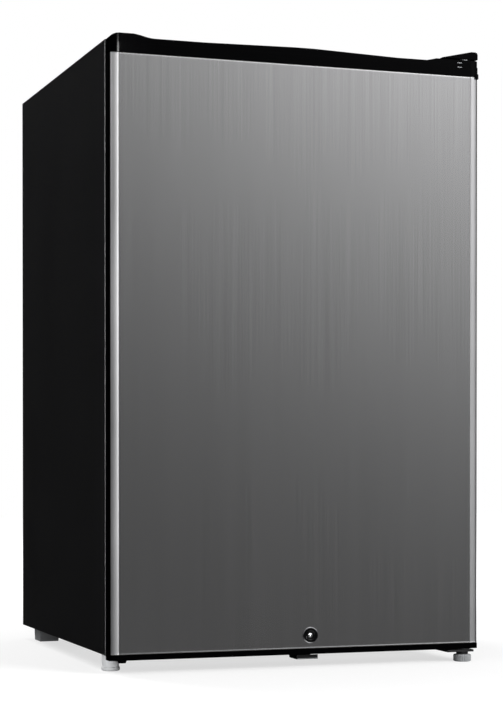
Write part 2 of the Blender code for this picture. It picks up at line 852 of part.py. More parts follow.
def condenser_end_x():
    return -CONDENSER_HALF_WIDTH if CONDENSER_RUNS % 2 else CONDENSER_HALF_WIDTH


def drier_top():
    return RECESS_TOP - PAST


def condenser_strap(name, x):
    """A bar that stands off the back panel and carries the serpentine."""
    panel = PANEL_BACK_FACE + CLEARANCE
    near = CONDENSER_Y - TUBE_RADIUS - CLEARANCE - STRAP_SHEET
    high = TOP - CONDENSER_TOP_DROP + PAST
    low = TOP - CONDENSER_TOP_DROP - (CONDENSER_RUNS - 1) * CONDENSER_PITCH - PAST
    foot = PAST
    outline = [
        (panel, low - foot),
        (panel + STRAP_SHEET, low - foot),
        (panel + STRAP_SHEET, low - STRAP_SHEET),
        (near + STRAP_SHEET, low - STRAP_SHEET),
        (near + STRAP_SHEET, high + STRAP_SHEET),
        (panel + STRAP_SHEET, high + STRAP_SHEET),
        (panel + STRAP_SHEET, high + foot),
        (panel, high + foot),
        (panel, high),
        (near, high),
        (near, low),
        (panel, low),
    ]
    return prism(name, outline, "X", x - STRAP_WIDTH / 2, x + STRAP_WIDTH / 2, "black_steel")


def filter_drier():
    radius = 3 * TUBE_RADIUS
    top = drier_top()
    low = top - DRIER_LENGTH
    profile = [
        (0, low),
        (TUBE_RADIUS, low),
        (radius, low + radius),
        (radius, top - radius),
        (TUBE_RADIUS, top),
        (0, top),
    ]
    centre = (condenser_end_x(), CONDENSER_Y + TUBE_RADIUS - radius, 0)
    return turned("filter_drier", profile, centre, "copper", sides=16)


def capillary_tube():
    """The fine tube that rises from the drier into the cabinet behind the back panel."""
    x = condenser_end_x()
    y = CONDENSER_Y - 2 * TUBE_RADIUS
    low = drier_top() - DRIER_LENGTH
    inside = x + math.copysign(CAPILLARY_SIDESTEP, x)
    corners = [
        (x, y, low - CLEARANCE),
        (x, y, low - PAST),
        (inside, y - 2 * PAST, low - PAST),
        (inside, y - 3 * PAST, RECESS_TOP - CLEARANCE),
    ]
    return tube("capillary_tube", rounded_route(corners, WIDE_BEND), TUBE_RADIUS / 2, "copper")


def pot_port(port):
    """A port's place on the compressor's side and its direction, from its angle and its share of the height."""
    x, y = compressor_centre()
    angle, share = port
    turn = math.radians(angle)
    way = Vector((math.cos(turn), math.sin(turn), 0))
    height = foot_plate_level() + COMPRESSOR_HEIGHT * share
    return Vector((x, y, height)) + way * (COMPRESSOR_RADIUS + CLEARANCE), way


def suction_tube():
    start, way = pot_port(SUCTION_PORT)
    out = start + way * 2 * PAST
    ceiling = Vector((out.x, out.y, RECESS_TOP - CLEARANCE))
    route = rounded_route([start, out, ceiling], WIDE_BEND)
    return tube("suction_tube", route, SUCTION_RADIUS, "copper")


def discharge_tube():
    """From the compressor to the foot of the condenser's inlet riser."""
    start, way = pot_port(DISCHARGE_PORT)
    inlet_x = CONDENSER_HALF_WIDTH + CONDENSER_PITCH / 2
    low = start.z
    out = start + way * PAST
    corners = [
        start,
        out,
        Vector((inlet_x, CONDENSER_Y, low)),
        Vector((inlet_x, CONDENSER_Y, RECESS_TOP - PAST - CLEARANCE)),
    ]
    return tube("discharge_tube", rounded_route(corners, TIGHT_BEND), TUBE_RADIUS, "copper")


def process_tube():
    start, way = pot_port(PROCESS_PORT)
    out = start + way * PAST
    end = out + Vector((0, 0, 2 * PAST))
    return tube("process_tube", rounded_route([start, out, end], TIGHT_BEND), PROCESS_RADIUS, "copper")


def cord_gland():
    """The grommet that lets the supply lead out over the compressor plate's rear flange."""
    rear = BACK - REAR_FLANGE
    x = COMPRESSOR_X - MOUNT_SPACING_X
    level = PLATE_LEVEL + PLATE_FLANGE + CLEARANCE
    profile = [
        (GLAND_BORE, -0.008),
        (GLAND_BARREL, -0.008),
        (GLAND_BARREL, -0.001),
        (GLAND_FLANGE, -0.001),
        (GLAND_FLANGE, 0.002),
        (GLAND_NOSE, 0.010),
        (GLAND_BORE, 0.010),
    ]
    centre = (x, rear + CLEARANCE, level + GLAND_FLANGE)
    return turned("cord_gland", profile, centre, "rubber", axis="Y", sides=20, closed=True)


# ---------------------------------------------------------------- hinges and strike


def top_hinge_bracket():
    low = TOP + CLEARANCE
    high = low + HINGE_SHEET
    rear = FRONT + COVER_DEPTH - COVER_WALL - JOGGLE_REACH
    plate = box(
        "top_hinge_bracket",
        (HINGE_X - PIN_MARGIN, HINGE_Y - PIN_MARGIN, low),
        (HALF - PLATE_SIDE, rear, high),
        "black_steel",
    )
    pin_low = low - TOP_PIN_LENGTH
    pin = rod("top_hinge_pin", PIN_RADIUS, (HINGE_X, HINGE_Y, 0), pin_low, low + HINGE_SHEET / 2)
    return join(plate, pin)


def top_hinge_cover():
    """A wedge over the hinge that runs on from the slope of the door's cap."""
    low = TOP + CLEARANCE
    high = TOP + COVER_HEIGHT
    left = COVER_LEFT
    right = COVER_RIGHT
    crest = right - COVER_CREST
    front = DOOR_FRONT + COVER_SETBACK
    rear = FRONT + COVER_DEPTH
    outline = [
        (left, low),
        (right, low),
        (right, high - COVER_ROUND),
        (right - COVER_ROUND * 0.3, high - COVER_ROUND * 0.3),
        (right - COVER_ROUND, high),
        (crest, high),
        (left, low + COVER_TIP),
    ]
    cover = prism("top_hinge_cover", outline, "Y", front, rear, "black_plastic")
    slope = (high - low - COVER_TIP) / (crest - left)
    inner_left = HINGE_X - PIN_MARGIN - COVER_PLATE_GAP
    inner_top = low + COVER_TIP + slope * (inner_left - left) - COVER_WALL
    hollow = [
        (inner_left, low - PAST),
        (right - COVER_WALL, low - PAST),
        (right - COVER_WALL, high - COVER_ROUND),
        (right - COVER_ROUND, high - COVER_WALL),
        (crest, high - COVER_WALL),
        (inner_left, inner_top),
    ]
    return cut(cover, prism("hinge_cover_hollow", hollow, "Y", front + COVER_WALL, rear - COVER_WALL))


def bottom_hinge_bracket():
    """A joggled arm under the cabinet. Its pin carries the door above and a foot below."""
    joggle = FRONT + JOGGLE_REACH
    low = ARM_TOP - BRACKET_SHEET
    upper_low = BRACKET_TOP - BRACKET_SHEET
    front = HINGE_Y - FOOT_RADIUS * 0.9
    rear = FRONT + BRACKET_DEPTH
    outline = [
        (front, low),
        (joggle + BRACKET_SHEET, low),
        (joggle + BRACKET_SHEET, upper_low),
        (rear, upper_low),
        (rear, BRACKET_TOP),
        (joggle, BRACKET_TOP),
        (joggle, ARM_TOP),
        (front, ARM_TOP),
    ]
    right = HALF - BRACKET_SIDE
    arm = prism("bottom_hinge_bracket", outline, "X", right - BRACKET_WIDTH, right, "black_steel")
    pin_low = low - FOOT_SOCKET * 0.8
    pin_top = BOTTOM_CAP_TOP - PIN_GAP
    return join(arm, rod("bottom_hinge_pin", PIN_RADIUS, (HINGE_X, HINGE_Y, 0), pin_low, pin_top))


def bush_profile(length):
    """A flanged bush, flange first, from its lower face at height zero."""
    return [
        (BUSH_BORE, 0),
        (BUSH_FLANGE_RADIUS, 0),
        (BUSH_FLANGE_RADIUS, BUSH_FLANGE),
        (BUSH_RADIUS, BUSH_FLANGE),
        (BUSH_RADIUS, length),
        (BUSH_BORE, length),
    ]


def bottom_hinge_bush():
    level = ARM_TOP + CLEARANCE / 2
    length = BOTTOM_CAP_TOP - level
    profile = bush_profile(length)
    place = (HINGE_X, HINGE_Y, level)
    return turned("bottom_hinge_bush", profile, place, "grey_plastic", sides=20, closed=True)


def top_hinge_bush():
    level = TOP
    length = TOP_PIN_LENGTH + TOP_BUSH_SPARE
    profile = [(radius, -height) for radius, height in bush_profile(length)]
    place = (HINGE_X, HINGE_Y, level)
    return turned("top_hinge_bush", profile, place, "grey_plastic", sides=20, closed=True)


def lock_strike():
    """A bent tongue under the cabinet whose lip stands in front of the turned cam."""
    level = BASE - STRIKE_DROP
    high = PAN_LEVEL - CLEARANCE
    rear = FRONT + RAIL_DEPTH * STRIKE_ROOT
    joggle = FRONT + JOGGLE_REACH
    front = FRONT - STRIKE_REACH
    sheet = STRIKE_SHEET
    outline = [
        (front, level),
        (joggle, level),
        (joggle + sheet, level + sheet),
        (joggle + sheet, high - sheet),
        (rear, high - sheet),
        (rear, high),
        (joggle, high),
        (joggle, level + sheet),
        (front + sheet, level + sheet),
        (front + sheet, level + STRIKE_LIP + sheet),
        (front, level + STRIKE_LIP + sheet),
    ]
    half = STRIKE_WIDTH / 2
    return prism("lock_strike", outline, "X", LOCK_X - half, LOCK_X + half, "zinc_steel")


# ---------------------------------------------------------------- door


def door_outline(grow, rear):
    """The door from above, from its rear left corner round the front to its rear right corner."""
    centre_x = DOOR_HALF - DOOR_CORNER_X
    centre_y = DOOR_FRONT + DOOR_CORNER_Y
    steps = 8
    left = []
    for step in range(steps + 1):
        turn = math.pi / 2 * (1 - step / steps)
        x = centre_x + (DOOR_CORNER_X + grow) * math.sin(turn)
        y = centre_y - (DOOR_CORNER_Y + grow) * math.cos(turn)
        left.append((-x, y))
    half = [(-(DOOR_HALF + grow), rear), *left]
    return half + mirrored(half)


def lock_bore(name, radius, start, end):
    return rod(name, radius, (LOCK_X, 0, LOCK_Z), start, end, axis="Y")


def door_panel():
    outer = door_outline(0.0, PANEL_REAR)
    inner = door_outline(-SKIN, PANEL_REAR - SKIN)
    hook = DOOR_HALF - SKIN_HOOK
    right_hook = [(hook, PANEL_REAR), (hook, PANEL_REAR - SKIN)]
    left_hook = [(-hook, PANEL_REAR - SKIN), (-hook, PANEL_REAR)]
    outline = outer + right_hook + list(reversed(inner)) + left_hook
    panel = prism("door_panel", outline, "Z", PANEL_BOTTOM, PANEL_TOP, "brushed_steel")
    hole = lock_bore("panel_lock_hole", LOCK_RADIUS + CLEARANCE, DOOR_FRONT - PAST, DOOR_FRONT + PAST)
    return cut(panel, hole)


def cam_room():
    """The space inside the door that the cam turns in."""
    side = CAM_WIDTH
    return (LOCK_X - side, LOCK_X + CAM_LENGTH + side / 2)


def door_foam():
    inset = SKIN + CLEARANCE
    outline = door_outline(-inset, PANEL_REAR - inset)
    low = PANEL_BOTTOM + CLEARANCE
    foam = prism("door_foam", outline, "Z", low, PANEL_TOP - CLEARANCE, "foam")
    barrel = lock_bore("foam_lock_hole", LOCK_RADIUS + CLEARANCE, DOOR_FRONT - PAST, LOCK_REAR + CLEARANCE)
    left, right = cam_room()
    room = box(
        "foam_cam_room",
        (left, LOCK_REAR - CAM_SHEET, low - PAST),
        (right, PANEL_REAR + PAST, LOCK_Z + LOCK_RADIUS + CAM_SHEET),
    )
    return cut(foam, barrel, room)


def dyke_outline(inset):
    """The raised U on the door's inner side: two uprights and the bar that joins them below."""
    outer = DYKE_OUTER - inset
    inner = DYKE_INNER + inset
    low = DYKE_BOTTOM + inset
    bar = DYKE_BOTTOM + DYKE_WIDTH - inset
    high = DYKE_TOP - inset
    return [
        (-outer, low),
        (outer, low),
        (outer, high),
        (inner, high),
        (inner, bar),
        (-inner, bar),
        (-inner, high),
        (-outer, high),
    ]


def boss_level(level):
    return level + BIN_HEIGHT * BOSS_SHARE


def boss_y():
    return (DOOR_REAR + FRONT + DYKE_REACH) / 2


def door_liner():
    side = DOOR_HALF - LINER_SHEET
    plate = box(
        "door_liner",
        (-side, PANEL_REAR + CLEARANCE, PANEL_BOTTOM + LINER_SHEET),
        (side, DOOR_REAR, PANEL_TOP - LINER_SHEET),
        "white_liner",
    )
    reach = FRONT + DYKE_REACH
    dyke = prism("liner_dyke", dyke_outline(0.0), "Y", DOOR_REAR - LINER_SHEET / 2, reach)
    hollow = prism("liner_dyke_hollow", dyke_outline(BIN_WALL), "Y", PANEL_REAR - PAST, reach - BIN_WALL)
    join(plate, dyke)
    cut(plate, hollow)
    bosses = []
    for number, level in enumerate(BIN_LEVELS):
        for side in (-1, 1):
            inner = side * (DYKE_INNER - BIN_HOOK)
            outer = side * (DYKE_INNER + BIN_WALL / 2)
            low = (min(inner, outer), boss_y() - BOSS_WIDTH / 2, boss_level(level) - BOSS_HEIGHT)
            high = (max(inner, outer), boss_y() + BOSS_WIDTH / 2, boss_level(level))
            bosses.append(box(f"liner_boss_{number}_{side}", low, high))
    return join(plate, *bosses)


def door_gasket():
    """The magnetic seal: a base strip, a narrow bellows and a wide head, mitred at four corners."""
    root = DOOR_REAR + CLEARANCE
    face = FRONT - CLEARANCE
    depth = face - root
    width = GASKET_WIDTH
    profile = [
        (0, 0),
        (0, 0.26),
        (0.25, 0.35),
        (0.25, 0.62),
        (0.06, 0.72),
        (0.06, 1),
        (0.94, 1),
        (0.94, 0.72),
        (0.75, 0.62),
        (0.75, 0.35),
        (1, 0.26),
        (1, 0),
    ]
    outer = INSIDE_HALF + GASKET_WIDTH + GASKET_MARGIN
    low = INSIDE_FLOOR - GASKET_WIDTH - GASKET_MARGIN
    high = INSIDE_TOP + GASKET_WIDTH + GASKET_MARGIN
    shape = bmesh.new()
    rings = []
    for across, along in profile:
        inset = across * width
        y = root + along * depth
        corners = ((-1, low + inset), (1, low + inset), (1, high - inset), (-1, high - inset))
        rings.append([shape.verts.new((side * (outer - inset), y, z)) for side, z in corners])
    for ring, following in zip(rings, rings[1:] + rings[:1]):
        for corner in range(4):
            after = (corner + 1) % 4
            shape.faces.new((ring[corner], ring[after], following[after], following[corner]))
    return object_from("door_gasket", shape, "gasket_rubber")


def cap_top_line():
    """The top edge of the cap from the front, left to right: a raised end, a low grip and the hinge end."""
    shoulder = GRIP_LEFT - SHOULDER_WIDTH
    fall = CAP_RISE + GRIP_END_DROP
    points = [(shoulder, CAP_TOP)]
    steps = 6
    for step in range(1, steps + 1):
        share = step / steps
        drop = fall * (1 - math.cos(math.pi * share)) / 2
        points.append((shoulder + SHOULDER_WIDTH * share, CAP_TOP - drop))
    ridge = (GRIP_LEFT + GRIP_RIGHT) / 2 + RIDGE_SHIFT
    points.append((ridge - RIDGE_LEFT_RUN, TOP - GRIP_END_DROP))
    points.append((ridge, TOP - RIDGE_DROP))
    points.append((ridge + RIDGE_HALF, TOP - RIDGE_DROP))
    points.append((ridge + RIDGE_RIGHT_RUN, TOP - GRIP_HINGE_DROP))
    valley = GRIP_RIGHT + VALLEY
    points.append((valley, TOP - GRIP_HINGE_DROP))
    points.append((valley + HINGE_END_RISE, HINGE_END_TOP))
    return points


def door_top_cap():
    lower = prism(
        "door_top_cap",
        door_outline(CAP_PROUD, CAP_REAR),
        "Z",
        CAP_BOTTOM,
        TOP - CAP_SEAM_DROP,
        "black_plastic",
    )
    upper = prism("cap_upper", door_outline(0.0, CAP_REAR), "Z", CAP_BOTTOM + CAP_FLOOR, CAP_TOP)
    join(lower, upper)
    line = cap_top_line()
    past = HALF + PAST
    above = [(-past, TOP + PAST), (-past, CAP_TOP + CLEARANCE), (line[0][0], CAP_TOP + CLEARANCE)]
    above += line[1:]
    above += [(past, HINGE_END_TOP), (past, TOP + PAST)]
    crest = prism("cap_crest", above, "Y", DOOR_FRONT - PAST, DOOR_REAR + PAST)
    pocket = box(
        "cap_grip",
        (GRIP_LEFT, DOOR_FRONT + GRIP_LIP, CAP_BOTTOM + CAP_FLOOR),
        (GRIP_RIGHT, DOOR_REAR + PAST, TOP + PAST),
    )
    place = (HINGE_X, HINGE_Y, 0)
    bore_low = TOP - TOP_PIN_LENGTH - 2 * TOP_BUSH_SPARE
    bore = rod("cap_bush_bore", BUSH_RADIUS + CLEARANCE, place, bore_low, TOP + PAST)
    seat_low = TOP - BUSH_FLANGE - CLEARANCE
    seat = rod("cap_bush_seat", BUSH_FLANGE_RADIUS + CLEARANCE, place, seat_low, TOP + PAST)
    return cut(lower, crest, pocket, bore, seat)


def door_bottom_cap():
    cap = prism(
        "door_bottom_cap",
        door_outline(CAP_PROUD, CAP_REAR),
        "Z",
        BOTTOM_CAP_LOW,
        BOTTOM_CAP_TOP,
        "black_plastic",
    )
    low = BOTTOM_CAP_LOW - PAST
    high = BOTTOM_CAP_TOP + PAST
    hinge = rod("cap_lower_bore", BUSH_RADIUS + CLEARANCE, (HINGE_X, HINGE_Y, 0), low, high)
    spare = rod("cap_spare_bore", BUSH_RADIUS + CLEARANCE, (-HINGE_X, HINGE_Y, 0), low, high)
    left, right = cam_room()
    slot = box("cap_cam_slot", (left, LOCK_REAR - CAM_SHEET, low), (right, LOCK_REAR + 3 * CAM_SHEET, high))
    return cut(cap, hinge, spare, slot)


def spare_hole_plug():
    low = BOTTOM_CAP_LOW - PLUG_HEAD
    seat = BOTTOM_CAP_LOW - CLEARANCE
    profile = [
        (0, low),
        (BUSH_RADIUS * 0.9, low),
        (BUSH_RADIUS, low + 0.001),
        (BUSH_RADIUS + PLUG_BRIM, seat),
        (BUSH_RADIUS, seat),
        (BUSH_RADIUS, BOTTOM_CAP_TOP),
        (0, BOTTOM_CAP_TOP),
    ]
    return turned("spare_hole_plug", profile, (-HINGE_X, HINGE_Y, 0), "black_plastic", sides=20)


def lock_housing():
    """The barrel and its front ring, open for the core."""
    front = DOOR_FRONT - LOCK_PROUD
    collar = DOOR_FRONT - CLEARANCE
    bore = CORE_RADIUS + PIN_GAP
    profile = [
        (bore, front),
        (LOCK_RING - 0.001, front),
        (LOCK_RING, collar - 0.0004),
        (LOCK_RING, collar),
        (LOCK_RADIUS, collar),
        (LOCK_RADIUS, LOCK_REAR),
        (bore, LOCK_REAR),
    ]
    return turned("lock_housing", profile, (LOCK_X, 0, LOCK_Z), "chrome", axis="Y", closed=True)


def lock_core():
    front = DOOR_FRONT - LOCK_PROUD + CORE_RECESS
    core = rod("lock_core", CORE_RADIUS, (LOCK_X, 0, LOCK_Z), front, LOCK_REAR, axis="Y", finish="chrome")
    slot = box(
        "lock_keyway",
        (LOCK_X - 0.0009, front - PAST, LOCK_Z - 0.0036),
        (LOCK_X + 0.0009, front + 0.008, LOCK_Z + 0.0036),
    )
    return cut(core, slot)


def lock_cam():
    """The tongue on the back of the core. It points to the right when the door is unlocked."""
    half = CAM_WIDTH / 2
    outline = []
    steps = 8
    for step in range(steps + 1):
        turn = math.pi / 2 + math.pi * step / steps
        outline.append((LOCK_X + half * math.cos(turn), LOCK_Z + half * math.sin(turn)))
    tip = LOCK_X + CAM_LENGTH
    outline += [(tip - half, LOCK_Z - half), (tip, LOCK_Z - half / 2), (tip, LOCK_Z + half)]
    return prism("lock_cam", outline, "Y", CAM_FRONT, CAM_FRONT + CAM_SHEET, "zinc_steel")


def door_bin(name, level):
    half = BIN_HALF
    rear = DOOR_REAR + CLEARANCE
    reach = FRONT + BIN_REACH
    foot = reach - BIN_SLOPE
    high = level + BIN_HEIGHT
    outline = [(rear, level), (foot, level), (reach, high), (rear, high)]
    body = prism(name, outline, "X", -half, half, "clear_plastic")
    inner = [
        (rear + BIN_WALL, level + BIN_WALL),
        (foot - BIN_WALL, level + BIN_WALL),
        (reach - BIN_WALL + BIN_SPREAD, high + PAST),
        (rear + BIN_WALL, high + PAST),
    ]
    hollow = prism(f"{name}_hollow", inner, "X", -half + BIN_WALL, half - BIN_WALL)
    cut(body, hollow)
    pads = []
    slots = []
    pad_half = BOSS_WIDTH
    boss_top = boss_level(level)
    for side in (-1, 1):
        inner_x = side * (half - BIN_WALL / 2)
        outer_x = side * (DYKE_INNER - BIN_PAD_GAP)
        low = (min(inner_x, outer_x), boss_y() - pad_half, boss_top - BOSS_HEIGHT * 1.3)
        high = (max(inner_x, outer_x), boss_y() + pad_half, boss_top + BOSS_WIDTH / 2)
        pads.append(box(f"{name}_pad_{side}", low, high))
        slot_in = side * (DYKE_INNER - BIN_HOOK - CLEARANCE * 2)
        slot_out = side * (DYKE_INNER + PAST)
        slot_half = BOSS_WIDTH / 2 + CLEARANCE
        slot_low = (min(slot_in, slot_out), boss_y() - slot_half, boss_top - 2 * BOSS_HEIGHT)
        slot_high = (max(slot_in, slot_out), boss_y() + slot_half, boss_top + CLEARANCE)
        slots.append(box(f"{name}_slot_{side}", slot_low, slot_high))
    join(body, *pads)
    return cut(body, *slots)


# ---------------------------------------------------------------- freezer box


def evaporator():
    low = (FREEZER_LEFT, FREEZER_Y, FREEZER_BOTTOM)
    high = (FREEZER_RIGHT, FREEZER_Y + FREEZER_DEPTH, FREEZER_TOP)
    sleeve = box("evaporator", low, high, "aluminium")
    sheet = FREEZER_SHEET
    hollow = box(
        "evaporator_hollow",
        (FREEZER_LEFT + sheet, FREEZER_Y - PAST, FREEZER_BOTTOM + sheet),
        (FREEZER_RIGHT - sheet, FREEZER_Y + FREEZER_DEPTH - sheet, FREEZER_TOP - sheet),
    )
    return cut(sleeve, hollow)


def freezer_hanger(name, x):
    """The spacer that holds the freezer box under the ceiling."""
    centre_y = FREEZER_Y + FREEZER_DEPTH / 2
    half = HANGER_WIDTH / 2
    reach = FREEZER_DEPTH / 2 - HANGER_WIDTH
    low = (x - half, centre_y - reach, FREEZER_TOP + CLEARANCE)
    high = (x + half, centre_y + reach, INSIDE_TOP - CLEARANCE)
    return box(name, low, high, "grey_plastic", 0.0015, 1)


def bezel_opening():
    """The bezel's opening: left, right, low and high."""
    return (
        FREEZER_LEFT + BEZEL_BORDER,
        FREEZER_RIGHT - BEZEL_BORDER,
        FREEZER_BOTTOM + BEZEL_BORDER / 2,
        FREEZER_TOP - BEZEL_BORDER / 2,
    )


def flap_axis():
    left, right, low, high = bezel_opening()
    return ((left + right) / 2, BEZEL_FRONT + BEZEL_DEPTH / 2, high - FLAP_THICKNESS - FLAP_GAP)


def freezer_frame():
    """The bezel round the freezer's mouth, with the two rails behind it that carry the drip tray."""
    left, right, low, high = bezel_opening()
    margin = BEZEL_MARGIN
    frame = box(
        "freezer_frame",
        (FREEZER_LEFT - margin, BEZEL_FRONT, FREEZER_BOTTOM - margin),
        (FREEZER_RIGHT + margin, FREEZER_Y - CLEARANCE, FREEZER_TOP + margin),
        "grey_plastic",
    )
    mouth = box("frame_mouth", (left, BEZEL_FRONT - PAST, low), (right, FREEZER_Y + PAST, high))
    x, y, z = flap_axis()
    half = (right - left) / 2 + BEZEL_BORDER / 2
    pin_bore = rod("frame_pin_bore", FLAP_PIN_RADIUS + PIN_GAP, (x, y, z), -half, half, axis="X", sides=16)
    cut(frame, mouth)
    rails = []
    rail_rear = FREEZER_Y + TRAY_DEPTH
    web_low = TRAY_RIM - RAIL_LIP - TRAY_WALL - 4 * CLEARANCE
    for side, edge in ((-1, FREEZER_LEFT), (1, FREEZER_RIGHT)):
        web_out = edge
        web_in = edge - side * RAIL_LIP
        lip_in = edge - side * (RAIL_LIP + TRAY_FLANGE)
        web_low_corner = (min(web_out, web_in), FREEZER_Y - BEZEL_DEPTH / 2, web_low)
        web_high_corner = (max(web_out, web_in), rail_rear, FREEZER_BOTTOM - CLEARANCE)
        rails.append(box(f"frame_web_{side}", web_low_corner, web_high_corner))
        lip_low_corner = (min(web_out, lip_in), FREEZER_Y - BEZEL_DEPTH / 2 + 0.001, web_low - 0.0005)
        lip_high_corner = (max(web_out, lip_in), rail_rear - 0.001, web_low + RAIL_LIP - 0.0005)
        rails.append(box(f"frame_lip_{side}", lip_low_corner, lip_high_corner))
    join(frame, *rails)
    return cut(frame, pin_bore)


def freezer_flap():
    left, right, low, high = bezel_opening()
    x, y, z = flap_axis()
    half_thickness = FLAP_THICKNESS / 2
    flap = box(
        "freezer_flap",
        (left + FLAP_GAP, y - half_thickness, low + FLAP_GAP),
        (right - FLAP_GAP, y + half_thickness, z + half_thickness),
        "white_liner",
    )
    grip = box(
        "flap_grip",
        (x - FLAP_LIP_HALF, y - half_thickness - FLAP_LIP, low + FLAP_GAP + CLEARANCE),
        (x + FLAP_LIP_HALF, y, low + FLAP_GAP + CLEARANCE + FLAP_LIP_SHEET),
    )
    half = (right - left) / 2 + BEZEL_BORDER / 2 - 0.001
    pin = rod("flap_pin", FLAP_PIN_RADIUS, (x, y, z), -half, half, axis="X", sides=16)
    return join(flap, grip, pin)


def drip_tray():
    """The tray hangs by its side flanges from the rails of the bezel."""
    flange_low = TRAY_RIM - TRAY_WALL - CLEARANCE
    left = FREEZER_LEFT + RAIL_LIP + CLEARANCE * 2
    right = FREEZER_RIGHT - RAIL_LIP - CLEARANCE * 2
    inner_left = FREEZER_LEFT + RAIL_LIP + TRAY_FLANGE + CLEARANCE * 2
    inner_right = FREEZER_RIGHT - RAIL_LIP - TRAY_FLANGE - CLEARANCE * 2
    front = BEZEL_FRONT
    rear = FREEZER_Y + TRAY_DEPTH - TRAY_BACK_GAP
    flange = box(
        "drip_tray",
        (left, front, flange_low),
        (right, rear, flange_low + TRAY_WALL),
        "clear_plastic",
    )
    pan = box(
        "tray_pan",
        (inner_left, front, flange_low - TRAY_HEIGHT),
        (inner_right, rear, flange_low + TRAY_WALL / 2),
    )
    hollow = box(
        "tray_hollow",
        (inner_left + TRAY_WALL, front + TRAY_WALL, flange_low - TRAY_HEIGHT + TRAY_WALL),
        (inner_right - TRAY_WALL, rear - TRAY_WALL, flange_low + PAST),
    )
    return cut(join(flange, pan), hollow)


# ---------------------------------------------------------------- thermostat


def thermostat_low():
    right = INSIDE_HALF - CLEARANCE
    return (right - THERMOSTAT_WIDTH, FREEZER_Y, INSIDE_TOP - LINER_CORNER - THERMOSTAT_HEIGHT)


def knob_place():
    x, y, z = thermostat_low()
    return (x + THERMOSTAT_WIDTH / 2, y, z + THERMOSTAT_HEIGHT * KNOB_LEVEL)


def thermostat_housing():
    x, y, z = thermostat_low()
    high = (x + THERMOSTAT_WIDTH, y + THERMOSTAT_DEPTH, z + THERMOSTAT_HEIGHT)
    wall = THERMOSTAT_WALL
    shell = box("thermostat_housing", (x, y, z), high, "white_liner", 0.003, 2)
    hollow = box(
        "thermostat_hollow",
        (x + wall, y + wall, z + wall),
        (x + THERMOSTAT_WIDTH - wall, y + THERMOSTAT_DEPTH + PAST, z + THERMOSTAT_HEIGHT - wall),
    )
    shaft = rod("thermostat_hole", SHAFT_HOLE, knob_place(), -PAST, PAST, axis="Y", sides=16)
    return cut(shell, hollow, shaft)


def thermostat_switch():
    """The switch behind the housing's face. The knob's shaft ends in front of it."""
    x, y, z = knob_place()
    wall = THERMOSTAT_WALL + CLEARANCE
    low = (x - SWITCH_HALF, y + wall, z - SWITCH_HALF)
    high = (x + SWITCH_HALF, y + wall + SWITCH_DEPTH, z + SWITCH_HALF)
    body = box("thermostat_switch", low, high, "zinc_steel", 0.001, 1)
    socket_end = THERMOSTAT_WALL + SHAFT_LENGTH + CLEARANCE
    return cut(body, rod("switch_socket", SWITCH_SOCKET, (x, y, z), 0, socket_end, axis="Y", sides=16))


def thermostat_knob():
    x, y, z = knob_place()
    front = -CLEARANCE - KNOB_DEPTH
    profile = [
        (0, front),
        (KNOB_RADIUS - 0.003, front),
        (KNOB_RADIUS - 0.001, front + 0.002),
        (KNOB_RADIUS, -CLEARANCE),
        (KNOB_SHAFT, -CLEARANCE),
        (KNOB_SHAFT, THERMOSTAT_WALL + SHAFT_LENGTH),
        (0, THERMOSTAT_WALL + SHAFT_LENGTH),
    ]
    knob = turned("thermostat_knob", profile, (x, y, z), "grey_plastic", axis="Y")
    pointer = box(
        "knob_pointer",
        (x - POINTER_HALF, y + front - PAST, z + KNOB_RADIUS * 0.35),
        (x + POINTER_HALF, y + front + POINTER_HALF, z + KNOB_RADIUS * 0.75),
    )
    return cut(knob, pointer)


# ---------------------------------------------------------------- shelves and drawer


def shelf_glass(name, level, front=SHELF_FRONT):
    half = INSIDE_HALF - SHELF_SIDE_GAP
    low = (-half, FRONT + front + TRIM_WALL + CLEARANCE, level)
    high = (half, INSIDE_BACK - SHELF_BACK_GAP, level + SHELF_GLASS)
    return box(name, low, high, "glass")


def shelf_trim(name, level, front=SHELF_FRONT):
    """The moulding that grips the glass's front edge."""
    half = INSIDE_HALF - RIB_WIDTH - SHELF_SIDE_GAP
    near = FRONT + front
    low = level - TRIM_WALL - CLEARANCE
    high = level + SHELF_GLASS + CLEARANCE + TRIM_WALL
    body = box(name, (-half, near, low), (half, near + TRIM_DEPTH, high), "white_liner")
    groove = box(
        f"{name}_groove",
        (-half - PAST, near + TRIM_WALL, level - CLEARANCE),
        (half + PAST, near + TRIM_DEPTH + PAST, level + SHELF_GLASS + CLEARANCE),
    )
    return cut(body, groove)


def crisper_cover():
    half = INSIDE_HALF - LINER_CORNER - CLEARANCE
    low = (-half, FRONT + DRAWER_FRONT + COVER_FRONT_GAP, CRISPER_COVER_LEVEL)
    high = (half, INSIDE_BACK - SHELF_BACK_GAP - LINER_CORNER, CRISPER_COVER_LEVEL + SHELF_GLASS)
    return box("crisper_cover", low, high, "glass")


